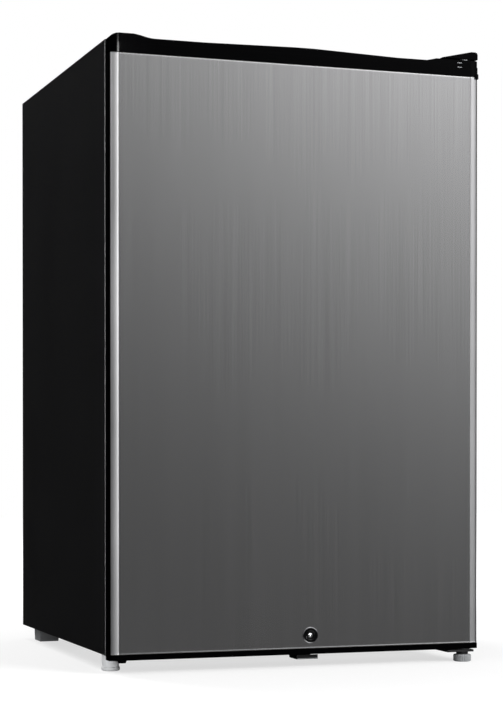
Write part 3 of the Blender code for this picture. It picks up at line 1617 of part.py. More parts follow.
def crisper_drawer():
    half = INSIDE_HALF - DRAWER_SIDE_GAP
    front = FRONT + DRAWER_FRONT
    rear = STEP_FRONT - DRAWER_REAR_GAP
    low = INSIDE_FLOOR + CLEARANCE
    high = CRISPER_COVER_LEVEL - DRAWER_TOP_GAP
    back_low = low + LINER_CORNER
    outline = [(front, low), (rear - LINER_CORNER, low), (rear, back_low), (rear, high), (front, high)]
    body = prism("crisper_drawer", outline, "X", -half, half, "clear_plastic")
    wall = DRAWER_WALL
    inner = [
        (front + wall, low + wall),
        (rear - LINER_CORNER - wall, low + wall),
        (rear - wall, back_low + wall),
        (rear - wall, high + PAST),
        (front + wall, high + PAST),
    ]
    hollow = prism("drawer_hollow", inner, "X", -half + wall, half - wall)
    grip_half = half * DRAWER_GRIP_SHARE
    grip_top = high - 2 * DRAWER_GRIP_SHEET
    grip = box(
        "drawer_grip",
        (-grip_half, front - DRAWER_GRIP, grip_top - DRAWER_GRIP_SHEET),
        (grip_half, front + wall / 2, grip_top),
    )
    return join(cut(body, hollow), grip)


# ---------------------------------------------------------------- assembly


def build():
    for old in list(bpy.data.objects):
        bpy.data.objects.remove(old, do_unlink=True)

    outer_shell()
    back_panel()
    floor_pan()
    front_crossrail()
    foam_insulation()
    inner_liner()
    compressor_plate()
    rear_foot("foot_rear_left", -1)
    rear_foot("foot_rear_right", 1)
    compressor_mounts()
    compressor()
    relay_cover()
    condenser_tube()
    condenser_strap("condenser_strap_left", -STRAP_X)
    condenser_strap("condenser_strap_right", STRAP_X)
    filter_drier()
    capillary_tube()
    suction_tube()
    discharge_tube()
    process_tube()
    cord_gland()
    top_hinge_bracket()
    top_hinge_cover()
    bottom_hinge_bracket()
    lock_strike()
    evaporator()
    freezer_hanger("freezer_hanger_left", FREEZER_LEFT + HANGER_INSET)
    freezer_hanger("freezer_hanger_right", FREEZER_RIGHT - HANGER_INSET)
    freezer_frame()
    thermostat_housing()
    thermostat_switch()

    hang_on(empty_at("left_foot_axis", front_foot_place()), foot_front_left())
    hang_on(empty_at("right_foot_axis", (HINGE_X, HINGE_Y, 0)), foot_front_right())
    hang_on(empty_at("flap_axis", flap_axis()), freezer_flap())
    hang_on(empty_at("knob_axis", knob_place()), thermostat_knob())
    hang_on(empty_at("tray_slide", (0, BEZEL_FRONT, TRAY_RIM - TRAY_HEIGHT)), drip_tray())
    for place, level in zip(("lower", "upper"), SHELF_LEVELS):
        slide = empty_at(f"shelf_{place}_slide", (0, FRONT + SHELF_FRONT, level))
        hang_on(slide, shelf_glass(f"shelf_{place}_glass", level), shelf_trim(f"shelf_{place}_trim", level))
    cover_slide = empty_at("crisper_cover_slide", (0, FRONT + DRAWER_FRONT, CRISPER_COVER_LEVEL))
    hang_on(cover_slide, crisper_cover())
    hang_on(empty_at("drawer_slide", (0, FRONT + DRAWER_FRONT, INSIDE_FLOOR)), crisper_drawer())

    door_axis = empty_at("door_axis", (HINGE_X, HINGE_Y, 0))
    hang_on(door_axis, door_panel(), door_foam(), door_liner(), door_gasket(), door_top_cap())
    hang_on(door_axis, door_bottom_cap(), spare_hole_plug(), top_hinge_bush(), bottom_hinge_bush())
    hang_on(door_axis, lock_housing())
    hang_on(empty_at("lock_axis", (LOCK_X, LOCK_REAR, LOCK_Z)), lock_core(), lock_cam())
    for name, level in zip(("door_bin_bottom", "door_bin_middle", "door_bin_top"), BIN_LEVELS):
        hang_on(empty_at(f"{name}_lift", (0, DOOR_REAR, level)), door_bin(name, level))


build()
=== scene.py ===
"""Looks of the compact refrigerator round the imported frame.

Materials, fine detail, floor, light and camera. Lengths are in metres.
"""

import json
import math

import bmesh
import bpy
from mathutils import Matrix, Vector


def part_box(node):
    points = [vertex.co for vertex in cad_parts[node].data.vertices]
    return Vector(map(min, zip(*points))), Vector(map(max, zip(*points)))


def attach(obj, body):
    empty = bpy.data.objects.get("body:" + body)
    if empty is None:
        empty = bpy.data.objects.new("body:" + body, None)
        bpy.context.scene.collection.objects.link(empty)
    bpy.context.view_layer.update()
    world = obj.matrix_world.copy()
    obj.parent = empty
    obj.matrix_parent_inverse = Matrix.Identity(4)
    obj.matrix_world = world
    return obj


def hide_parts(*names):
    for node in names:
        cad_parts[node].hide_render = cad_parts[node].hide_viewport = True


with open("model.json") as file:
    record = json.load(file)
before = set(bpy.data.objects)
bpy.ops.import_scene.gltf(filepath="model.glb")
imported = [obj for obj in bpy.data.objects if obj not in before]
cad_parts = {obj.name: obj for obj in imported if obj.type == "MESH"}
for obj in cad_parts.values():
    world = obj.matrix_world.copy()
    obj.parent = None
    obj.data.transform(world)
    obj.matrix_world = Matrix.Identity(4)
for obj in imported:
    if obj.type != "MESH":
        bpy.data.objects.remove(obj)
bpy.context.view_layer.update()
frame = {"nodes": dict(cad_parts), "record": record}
scene = bpy.context.scene
scene.view_settings.view_transform = "Standard"


def corners(node):
    low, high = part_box(node)
    return Vector(low), Vector(high)


SHELL_LOW, SHELL_HIGH = corners("outer_shell")
PANEL_LOW, PANEL_HIGH = corners("door_panel")
FRONT = SHELL_LOW.y
BACK = SHELL_HIGH.y
BASE = SHELL_LOW.z
TOP = SHELL_HIGH.z
HALF = SHELL_HIGH.x
DOOR_FRONT = PANEL_LOW.y
DOOR_HALF = PANEL_HIGH.x

# ---------------------------------------------------------------- materials

# How the noise is stretched along a brushed sheet, for the grain and for wider clouds.
BRUSH_GRAIN = (900, 900, 3)
BRUSH_CLOUD = (60, 60, 0.6)
BRUSH_RELIEF = 0.000006
CLOUD_SCALE = 7.0
# The noise values between which a colour goes from its dark to its bright shade, and the
# shades of brushed metal and of paint as shares of the colour.
RAMP_ENDS = (0.3, 0.7)
BRUSH_TINTS = (0.90, 1.08)
PAINT_TINTS = (0.93, 1.07)
# How far the roughness goes to either side of its middle.
BRUSH_SPREAD = 0.03
PAINT_SPREAD = 0.04
BRUSH_ANISOTROPY = 0.5
BUMP_STRENGTH = 0.5
CLEAR_TRANSMISSION = 0.9
CLEAR_IOR = 1.5


def tinted(colour, factor):
    return tuple(min(1.0, channel * factor) for channel in colour)


class Shade:
    """Builds one node material. A method that adds a node returns the socket of its result."""

    def __init__(self, name, colour, roughness, metallic=0.0):
        self.material = bpy.data.materials.new(name)
        self.material.use_nodes = True
        self.nodes = self.material.node_tree.nodes
        self.links = self.material.node_tree.links
        self.shader = self.nodes["Principled BSDF"]
        self.set("Base Color", (*colour, 1.0))
        self.set("Roughness", roughness)
        self.set("Metallic", metallic)

    def set(self, socket, value):
        self.shader.inputs[socket].default_value = value

    def link(self, output, socket):
        self.links.new(output, self.shader.inputs[socket])

    def add(self, kind, **values):
        node = self.nodes.new(kind)
        for key, value in values.items():
            setattr(node, key, value)
        return node

    def noise(self, scale, stretch=(1, 1, 1), detail=3.0, roughness=0.5):
        node = self.add("ShaderNodeTexNoise")
        place = self.add("ShaderNodeTexCoord")
        mapping = self.add("ShaderNodeMapping")
        mapping.inputs["Scale"].default_value = stretch
        self.links.new(place.outputs["Object"], mapping.inputs["Vector"])
        self.links.new(mapping.outputs["Vector"], node.inputs["Vector"])
        node.inputs["Scale"].default_value = scale
        node.inputs["Detail"].default_value = detail
        node.inputs["Roughness"].default_value = roughness
        return node.outputs["Fac"]

    def ramp(self, value, colour, tints):
        """Goes from a dark to a bright shade of a colour."""
        node = self.add("ShaderNodeValToRGB")
        for element, position, tint in zip(node.color_ramp.elements, RAMP_ENDS, tints):
            element.position = position
            element.color = (*tinted(colour, tint), 1.0)
        self.links.new(value, node.inputs["Fac"])
        return node.outputs["Color"]

    def around(self, value, middle, spread):
        """Spreads a value from 0 to 1 about a middle."""
        node = self.add("ShaderNodeMapRange")
        node.inputs["To Min"].default_value = middle - spread
        node.inputs["To Max"].default_value = middle + spread
        self.links.new(value, node.inputs["Value"])
        return node.outputs["Result"]

    def bump(self, height, distance):
        node = self.add("ShaderNodeBump")
        node.inputs["Distance"].default_value = distance
        node.inputs["Strength"].default_value = BUMP_STRENGTH
        self.links.new(height, node.inputs["Height"])
        self.link(node.outputs["Normal"], "Normal")


def brushed(name, colour, roughness):
    """Metal with fine straight grain along Z."""
    shade = Shade(name, colour, roughness, 1.0)
    grains = shade.noise(1.0, BRUSH_GRAIN, detail=4.0, roughness=0.65)
    wide = shade.noise(1.0, BRUSH_CLOUD, detail=2.0)
    shade.link(shade.ramp(grains, colour, BRUSH_TINTS), "Base Color")
    shade.link(shade.around(wide, roughness, BRUSH_SPREAD), "Roughness")
    shade.bump(grains, BRUSH_RELIEF)
    shade.set("Anisotropic", BRUSH_ANISOTROPY)
    across = shade.add("ShaderNodeTangent", direction_type="RADIAL", axis="Z")
    shade.link(across.outputs["Tangent"], "Tangent")
    return shade.material


def painted(name, colour, roughness, grain, relief, shine=0.5):
    """Paint or a moulded surface with a fine pebble in it."""
    shade = Shade(name, colour, roughness)
    pebble = shade.noise(grain, detail=2.0)
    cloud = shade.noise(CLOUD_SCALE)
    shade.link(shade.ramp(cloud, colour, PAINT_TINTS), "Base Color")
    shade.link(shade.around(cloud, roughness, PAINT_SPREAD), "Roughness")
    shade.bump(pebble, relief)
    shade.set("Specular IOR Level", shine)
    return shade.material


def sockets_of(slot):
    return MATERIALS[slot].node_tree.nodes["Principled BSDF"].inputs


# By slot or look: name, colour, roughness, the pebble's scale and height, and shine.
MATERIALS = {
    "black_paint": painted(
        "side_paint", (0.0135, 0.0135, 0.0142), 0.42, 900, 0.00005, shine=0.45
    ),
    "zinc_steel": painted("zinc_sheet", (0.42, 0.43, 0.44), 0.38, 300, 0.00002),
    "black_steel": painted("black_steel", (0.014, 0.014, 0.015), 0.45, 700, 0.00004),
    "foam": painted("foam", (0.72, 0.62, 0.36), 0.9, 500, 0.0003),
    "white_liner": painted("white_liner", (0.78, 0.79, 0.79), 0.28, 300, 0.00003),
    "brushed_steel": brushed("brushed_door", (0.46, 0.46, 0.465), 0.26),
    "black_plastic": painted(
        "black_gloss", (0.0008, 0.0008, 0.0010), 0.06, 500, 0.000002, shine=0.03
    ),
    "side_plastic": painted(
        "door_side", (0.0008, 0.0008, 0.0010), 0.45, 700, 0.00002, shine=0.06
    ),
    "gasket_rubber": painted("gasket", (0.016, 0.016, 0.018), 0.7, 900, 0.00004),
    "grey_plastic": painted("grey_moulding", (0.36, 0.37, 0.38), 0.42, 800, 0.00005),
    "rubber": painted("rubber", (0.014, 0.014, 0.014), 0.75, 700, 0.00006),
    "aluminium": painted("aluminium", (0.62, 0.63, 0.64), 0.35, 250, 0.00003),
    "copper": painted("copper", (0.72, 0.34, 0.20), 0.28, 400, 0.00002),
    "satin_edge": painted("satin_strip", (0.62, 0.62, 0.63), 0.42, 600, 0.000006),
    "lock_black": painted(
        "lock_black", (0.0015, 0.0015, 0.0017), 0.20, 500, 0.000006, shine=0.2
    ),
    "foot_plastic": painted("foot_plastic", (0.86, 0.87, 0.88), 0.35, 600, 0.00003),
    "chrome": painted("chrome", (0.55, 0.55, 0.57), 0.12, 400, 0.000004),
    "clear_plastic": painted("clear_plastic", (0.80, 0.86, 0.88), 0.10, 300, 0.00001),
    "glass": painted("glass", (0.80, 0.90, 0.87), 0.04, 300, 0.000004),
}
for slot in ("zinc_steel", "aluminium", "copper", "chrome", "satin_edge"):
    sockets_of(slot)["Metallic"].default_value = 1.0
for slot in ("clear_plastic", "glass"):
    sockets_of(slot)["Transmission Weight"].default_value = CLEAR_TRANSMISSION
    sockets_of(slot)["IOR"].default_value = CLEAR_IOR

slot_of = {row["node"]: row["material_slot"] for row in frame["record"]["subparts"]}
for name, node in frame["nodes"].items():
    node.data.materials.clear()
    node.data.materials.append(MATERIALS[slot_of[name]])

# ---------------------------------------------------------------- building pieces

WELD = 2e-6
SMALL_RADIUS = 0.0003
# Angles in degrees: up to the first two, faces are joined and shaded as one; over the third, an
# edge is rounded.
FLAT_ANGLE = 0.4
SMOOTH_ANGLE = 35
SHARP_ANGLE = 40
# The least height of a pressed bead at its very ends, as a share.
BEAD_END = 0.02

bodies = frame["record"]["behaviour"]["bodies"]
body_of = {node: body for body, members in bodies.items() for node in members}


def flush(shape, name, material, smooth=SMOOTH_ANGLE, weighted=True):
    """Turns a bmesh into an object that is shaded smooth up to an angle."""
    mesh = bpy.data.meshes.new(name)
    shape.to_mesh(mesh)
    shape.free()
    made = bpy.data.objects.new(name, mesh)
    scene.collection.objects.link(made)
    mesh.materials.append(MATERIALS[material])
    mesh.shade_smooth()
    mesh.set_sharp_from_angle(angle=math.radians(smooth))
    if weighted:
        made.modifiers.new("normals", "WEIGHTED_NORMAL").keep_sharp = True
    return made


def added(made, node):
    """A detail that moves with a node's body."""
    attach(made, body_of[node])
    return made


def standing_for(made, node):
    """A piece that is shown in place of a node."""
    added(made, node)
    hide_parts(node)
    return made


def shape_of(node):
    """A node's mesh with its triangles joined back into flat faces."""
    shape = bmesh.new()
    shape.from_mesh(frame["nodes"][node].data)
    bmesh.ops.remove_doubles(shape, verts=shape.verts, dist=WELD)
    flat = math.radians(FLAT_ANGLE)
    bmesh.ops.dissolve_limit(shape, angle_limit=flat, verts=shape.verts, edges=shape.edges)
    return shape


def eased(shape, radius, segments=2, angle=SHARP_ANGLE, where=None):
    """Rounds the edges that are sharper than an angle."""
    edges = [edge for edge in shape.edges if len(edge.link_faces) == 2]
    sharp = [edge for edge in edges if edge.calc_face_angle() > math.radians(angle)]
    if where:
        sharp = [edge for edge in sharp if where((edge.verts[0].co + edge.verts[1].co) / 2)]
    bmesh.ops.bevel(
        shape,
        geom=sharp,
        offset=radius,
        offset_type="OFFSET",
        segments=segments,
        profile=0.5,
        affect="EDGES",
        clamp_overlap=True,
    )
    return shape


def soft_copy(node, radius=0.0, segments=2, material=None):
    """The node's own shape with its edges rounded as moulding or folding leaves them."""
    shape = shape_of(node)
    if radius:
        eased(shape, radius, segments)
    made = flush(shape, node + "_look", material or slot_of[node])
    return standing_for(made, node)


def in_space(axis, first, second, along):
    """The point whose coordinate along an axis is given last, after its two others."""
    places = {
        "X": (along, first, second),
        "Y": (first, along, second),
        "Z": (first, second, along),
    }
    return Vector(places[axis])


def block(low, high, radius=0.0, segments=2):
    shape = bmesh.new()
    bmesh.ops.create_cube(shape, size=1.0)
    bmesh.ops.scale(shape, vec=Vector(high) - Vector(low), verts=shape.verts)
    bmesh.ops.translate(shape, vec=(Vector(high) + Vector(low)) / 2, verts=shape.verts)
    if radius:
        eased(shape, radius, segments)
    return shape


def lathe(profile, centre, axis="Z", sides=48, closed=False, waves=0, depth=0.0, band=(0, 0)):
    """Turns a profile of (radius, height). Waves cut grooves between the two heights of a band."""
    shape = bmesh.new()
    base = Vector(centre)
    rings = []
    for radius, height in profile:
        if radius == 0:
            rings.append([shape.verts.new(base + in_space(axis, 0, 0, height))] * sides)
            continue
        ring = []
        cut = depth if waves and band[0] <= height <= band[1] else 0.0
        for step in range(sides):
            turn = math.tau * step / sides
            reach = radius - cut * (0.5 - 0.5 * math.cos(waves * turn))
            across = in_space(axis, reach * math.cos(turn), reach * math.sin(turn), height)
            ring.append(shape.verts.new(base + across))
        rings.append(ring)
    pairs = list(zip(rings, rings[1:]))
    if closed:
        pairs.append((rings[-1], rings[0]))
    for lower, upper in pairs:
        for step in range(sides):
            after = (step + 1) % sides
            around = [lower[step], lower[after], upper[after], upper[step]]
            shape.faces.new(list(dict.fromkeys(around)))
    bmesh.ops.recalc_face_normals(shape, faces=shape.faces)
    return shape


def gathered(first, *others):
    """Joins bmeshes into the first."""
    for other in others:
        mesh = bpy.data.meshes.new("gathered")
        other.to_mesh(mesh)
        other.free()
        first.from_mesh(mesh)
        bpy.data.meshes.remove(mesh)
    return first


def pipe(points, radius, sides=8):
    """A round bar along a line of points, with flat ends."""
    shape = bmesh.new()
    line = [Vector(point) for point in points]
    rings = []
    side = None
    for index, point in enumerate(line):
        ahead = line[min(index + 1, len(line) - 1)] - line[max(index - 1, 0)]
        along = ahead.normalized()
        if side is None:
            side = along.orthogonal().normalized()
        side = (side - along * side.dot(along)).normalized()
        over = along.cross(side)
        ring = []
        for step in range(sides):
            turn = math.tau * step / sides
            reach = side * math.cos(turn) + over * math.sin(turn)
            ring.append(shape.verts.new(point + reach * radius))
        rings.append(ring)
    for lower, upper in zip(rings, rings[1:]):
        for step in range(sides):
            after = (step + 1) % sides
            shape.faces.new((lower[step], lower[after], upper[after], upper[step]))
    shape.faces.new(list(reversed(rings[0])))
    shape.faces.new(rings[-1])
    return shape


def bent(corners_at, radius, steps=4):
    """A line of points whose corners are rounded."""
    line = [Vector(corner) for corner in corners_at]
    points = [line[0]]
    for before, corner, after in zip(line, line[1:], line[2:]):
        inward = (before - corner).normalized()
        outward = (after - corner).normalized()
        start = corner + inward * radius
        end = corner + outward * radius
        for step in range(steps + 1):
            share = step / steps
            first = start.lerp(corner, share)
            second = corner.lerp(end, share)
            points.append(first.lerp(second, share))
    points.append(line[-1])
    return points


def pressed(start, end, width, rise, up, sides=8, steps=5):
    """A long low bead with rounded ends, as pressing or moulding leaves one."""
    shape = bmesh.new()
    start, end, up = Vector(start), Vector(end), Vector(up)
    along = (end - start).normalized()
    across = along.cross(up)
    half = width / 2
    length = (end - start).length
    stations = [half * (1 - math.cos(math.pi / 2 * step / steps)) for step in range(steps + 1)]
    stations += [length - place for place in reversed(stations)]
    rings = []
    for place in stations:
        short = max(0.0, 1 - min(place, length - place) / half)
        scale = max(BEAD_END, math.sqrt(max(0.0, 1 - short * short)))
        ring = []
        for step in range(sides + 1):
            turn = math.pi * step / sides
            lift = up * (rise * scale * math.sin(turn))
            reach = across * (half * scale * math.cos(turn))
            ring.append(shape.verts.new(start + along * place + reach + lift))
        rings.append(ring)
    for lower, upper in zip(rings, rings[1:]):
        for step in range(sides):
            shape.faces.new((lower[step], lower[step + 1], upper[step + 1], upper[step]))
        shape.faces.new((lower[0], upper[0], upper[sides], lower[sides]))
    shape.faces.new(rings[0])
    shape.faces.new(list(reversed(rings[-1])))
    bmesh.ops.recalc_face_normals(shape, faces=shape.faces)
    return shape


SCREW_RADIUS = 0.0030
# A screw's washer and head: share of the radius, and height.
SCREW_WASHER = ((0, 0), (1.6, 0), (1.6, 0.0005), (1.1, 0.0008), (0, 0.0008))
SCREW_HEAD = ((0, 0.0006), (1, 0.0006), (1, 0.0020), (0.82, 0.0024), (0, 0.0024))


def hex_screw(place):
    """A hexagon head on its washer, which stands out along Y."""
    washer = [(SCREW_RADIUS * share, height) for share, height in SCREW_WASHER]
    head = [(SCREW_RADIUS * share, height) for share, height in SCREW_HEAD]
    return gathered(lathe(washer, place, "Y", sides=20), lathe(head, place, "Y", sides=6))


# ---------------------------------------------------------------- door

CORNER_X = 0.0123
CORNER_Y = 0.0034
CROWN = 0.0109
CORNER_STEPS = 20
FACE_STEPS = 24
BEAD_RISE = 0.0004
BLACK_LIP = {"left": 0.0012, "right": 0.0026}
# Behind the lip, the black side turns in at the rear.
SIDE_TURN = 0.0005
SIDE_RETURN = 0.004
# Inside the crest, the strip steps down to the face: three widths, and two small drops.
STRIP_FOOT = (0.0009, 0.0013, 0.0014)
CREST_DROP = 0.0001
FACE_TUCK = 0.0002
# The eased upper edge of the door's sheet, with a row below that holds the face flat.
HEM_RISE = 0.0022
HEM_DEPTH = 0.0005
HEM_FOLD = 0.0016
HEM_HOLD = 0.0008
HEM_STEPS = 6
SHEET_ROWS = (0.25, 0.5, 0.75)
# The rolled lower edge of the door's sheet: height, and how far it is drawn in.
LOWER_ROLL = (
    (0.0, 0.0010),
    (0.0001, 0.0),
    (0.0003, -0.00016),
    (0.0006, -0.00020),
    (0.0010, -0.00017),
    (0.0014, -0.00010),
    (0.0018, -0.00003),
    (0.0022, 0.0),
    (0.0030, 0.0),
)
PANEL_REAR = PANEL_HIGH.y


def mirrored(line):
    return [(-x, y) for x, y in reversed(line)]


def crown_line(black, lip):
    """The left edge from above: the strip over the crown, or the black lip and side outside it."""
    points = []
    for step in range(CORNER_STEPS + 1):
        turn = math.pi / 2 * (1 - step / CORNER_STEPS)
        share = (step / CORNER_STEPS) ** 2
        x = DOOR_HALF - CROWN + CROWN * math.sin(turn)
        y = DOOR_FRONT + CORNER_Y - CORNER_Y * math.cos(turn) - BEAD_RISE * share
        points.append((-x, y))
    edge, crest = points[-1]
    outer = [(x, y) for x, y in points if x < lip - DOOR_HALF]
    if black:
        rear = [
            (-DOOR_HALF + SIDE_RETURN, PANEL_REAR),
            (-DOOR_HALF + SIDE_TURN, PANEL_REAR),
            (-DOOR_HALF, PANEL_REAR - SIDE_TURN),
        ]
        return rear + outer
    drops = (crest + CREST_DROP, crest + BEAD_RISE, DOOR_FRONT + FACE_TUCK)
    foot = [(edge + width, drop) for width, drop in zip(STRIP_FOOT, drops)]
    return points[len(outer) - 1 :] + foot


def sheet_along(line, levels):
    """A sheet that follows a line from above. A level is (height, how far it is drawn in)."""
    shape = bmesh.new()
    rows = []
    for height, inset in levels:
        row = []
        for index, (x, y) in enumerate(line):
            before = Vector(line[max(index - 1, 0)])
            after = Vector(line[min(index + 1, len(line) - 1)])
            along = (after - before).normalized()
            inward = Vector((-along.y, along.x)) * inset
            row.append(shape.verts.new((x + inward.x, y + inward.y, height)))
        rows.append(row)
    for lower, upper in zip(rows, rows[1:]):
        for index in range(len(line) - 1):
            shape.faces.new((lower[index], lower[index + 1], upper[index + 1], upper[index]))
    return shape


def hemmed_levels(low, high):
    """Heights of a sheet with a rolled lower edge, whose upper edge eases back and folds in."""
    hem = [(0.0, HEM_FOLD)]
    for step in range(HEM_STEPS, -1, -1):
        turn = math.pi / 2 * step / HEM_STEPS
        hem.append((HEM_RISE * (1 - math.sin(turn)), HEM_DEPTH * (1 - math.cos(turn))))
    hem.append((HEM_RISE + HEM_HOLD, 0.0))
    levels = [(low + height, inset) for height, inset in LOWER_ROLL]
    levels += [(low + (high - low) * share, 0.0) for share in SHEET_ROWS]
    return levels + [(high - height, inset) for height, inset in reversed(hem)]


def door_face():
    """The brushed sheet between the two edge strips."""
    edge = DOOR_HALF - CORNER_X
    places = [-edge + 2 * edge * step / FACE_STEPS for step in range(FACE_STEPS + 1)]
    line = [(x, DOOR_FRONT) for x in places]
    shape = sheet_along(line, hemmed_levels(PANEL_LOW.z, PANEL_HIGH.z))
    made = flush(shape, "door_face", "brushed_steel", smooth=50, weighted=False)
    standing_for(made, "door_panel")


def door_edges():
    """The satin strips that crown the door's upright edges, and the black sides behind them."""
    levels = hemmed_levels(PANEL_LOW.z, PANEL_HIGH.z)
    looks = (
        (False, "door_strip", "satin_edge", "brushed_steel"),
        (True, "door_side", "side_plastic", "black_plastic"),
    )
    for hand, turned in (("left", list), ("right", mirrored)):
        for black, name, material, slot in looks:
            line = turned(crown_line(black, BLACK_LIP[hand]))
            shape = sheet_along(line, levels)
            made = flush(shape, f"{name}_{hand}", material, smooth=60, weighted=False)
            standing_for(made, "door_panel")


CAP_SEAM = TOP - 0.0105
CAP_ROUND_X = 0.015
CAP_ROUND_Z = 0.009
CAP_STEPS = 9
# Cuts that hold the flat front beside the rounded corner: just inside it, at its end, past it.
CAP_HOLDS = (CAP_ROUND_X - 0.0012, CAP_ROUND_X, CAP_ROUND_X + 0.002)
# The height over the seam that the rounding leaves as it is.
CAP_KEEP = 0.002
# Edges this near the seam are rounded a little, and those this far over it more.
CAP_NEAR = 0.001
CAP_UPPER = 0.004
CAP_SEAM_RADIUS = 0.0003
CAP_EDGE_RADIUS = 0.0010
BOTTOM_CAP_RADIUS = 0.0008
CUT_SNAP = 1e-6


def rounded_end(shape):
    """Rounds the upper left corner of the cap as it is seen from the front."""
    end = -corners("door_top_cap")[1].x
    turns = [math.pi / 2 * number / CAP_STEPS for number in range(1, CAP_STEPS)]
    cuts = [CAP_ROUND_X * (1 - math.cos(turn)) for turn in turns]
    for reach in (*cuts, *CAP_HOLDS):
        place = Vector((end + reach, 0, 0))
        everything = list(shape.verts) + list(shape.edges) + list(shape.faces)
        bmesh.ops.bisect_plane(
            shape, geom=everything, plane_co=place, plane_no=(1, 0, 0), dist=CUT_SNAP
        )
    for vertex in shape.verts:
        reach = (end + CAP_ROUND_X - vertex.co.x) / CAP_ROUND_X
        if reach > 0 and vertex.co.z > CAP_SEAM + CAP_KEEP:
            drop = CAP_ROUND_Z * (1 - math.sqrt(max(0.0, 1 - reach * reach)))
            vertex.co.z -= min(drop, vertex.co.z - CAP_SEAM - CAP_KEEP)
    return shape


# The clip at the hinge end of the cap: in from the cap's own corners, lowest and highest.
CLIP_LOW = (-0.0062, 0.0001, -0.0034)
CLIP_HIGH = (-0.0001, -0.0045, 0.0040)
CLIP_RADIUS = 0.0009
# The two ribs beside it, whose grey is a painted highlight: heights over the cap's foot, and in
# from its end.
RIB_HEIGHTS = (0.0113, 0.0174)
RIB_THICKNESS = 0.0010
RIB_ENDS = (0.0330, 0.0262)
RIB_PROUD = 0.0003
RIB_SUNK = 0.0004


def door_caps():
    shape = rounded_end(shape_of("door_top_cap"))
    eased(shape, CAP_SEAM_RADIUS, where=lambda place: abs(place.z - CAP_SEAM) < CAP_NEAR)
    upper = CAP_SEAM + CAP_UPPER
    eased(shape, CAP_EDGE_RADIUS, segments=3, angle=50, where=lambda place: place.z > upper)
    standing_for(flush(shape, "door_top_cap_look", "black_plastic"), "door_top_cap")
    soft_copy("door_bottom_cap", BOTTOM_CAP_RADIUS, segments=3)
    low, high = corners("door_top_cap")
    clip_low = Vector((high.x, low.y, low.z)) + Vector(CLIP_LOW)
    clip_high = Vector((high.x, high.y, low.z)) + Vector(CLIP_HIGH)
    clip = block(clip_low, clip_high, CLIP_RADIUS, segments=3)
    added(flush(clip, "door_top_cap_clip", "black_plastic"), "door_top_cap")
    # Grey ribs on the black cap; their grey is a painted highlight.
    ribs = []
    for height in RIB_HEIGHTS:
        level = low.z + height
        rib_low = (high.x - RIB_ENDS[0], low.y - RIB_PROUD, level)
        rib_high = (high.x - RIB_ENDS[1], low.y + RIB_SUNK, level + RIB_THICKNESS)
        ribs.append(block(rib_low, rib_high, SMALL_RADIUS))
    added(flush(gathered(*ribs), "door_top_cap_ribs_painted_highlight", "grey_plastic"), "door_top_cap")


LOCK_BORE_GAP = 0.0003
LOCK_SLEEVE = 0.002
LOCK_SIDES = 56
BORE_DEPTH = 0.004
# How far clear of the door's sheet the ring and its rim end.
RING_SEAT = 0.00005
RIM_SEAT = 0.0001
# Edges of the ring: out from the bore or in from the outside, and back from the front.
BORE_LIP = ((0.0, 0.0006), (0.0002, 0.0002), (0.0006, 0.0))
RING_LIP = ((0.0016, 0.0), (0.0008, 0.00015), (0.0002, 0.0006), (0.0, 0.0011))
RIM_LIP = ((0.0009, 0.0001), (0.0005, -0.0001), (0.0001, 0.0003), (-0.0001, 0.0008))
PLUG_PROUD = 0.0005
PLUG_RECESS = 0.0006
PLUG_EDGE = 0.0004
PLUG_EASE = 0.0001
# The plug's face: share of its radius, and back from the face.
PLUG_FACE = ((0, PLUG_RECESS), (0.55, PLUG_RECESS), (0.62, 0.0002), (0.85, 0.0))
DOME_RADIUS = 0.0026
DOME_STEPS = 6
# Half the length and half the thickness of the keyway's bar, and how far it stands out.
WAY_HALF = 0.0031
WAY_THIN = 0.0004
WAY_PROUD = 0.0001
WAY_RADIUS = 0.0001


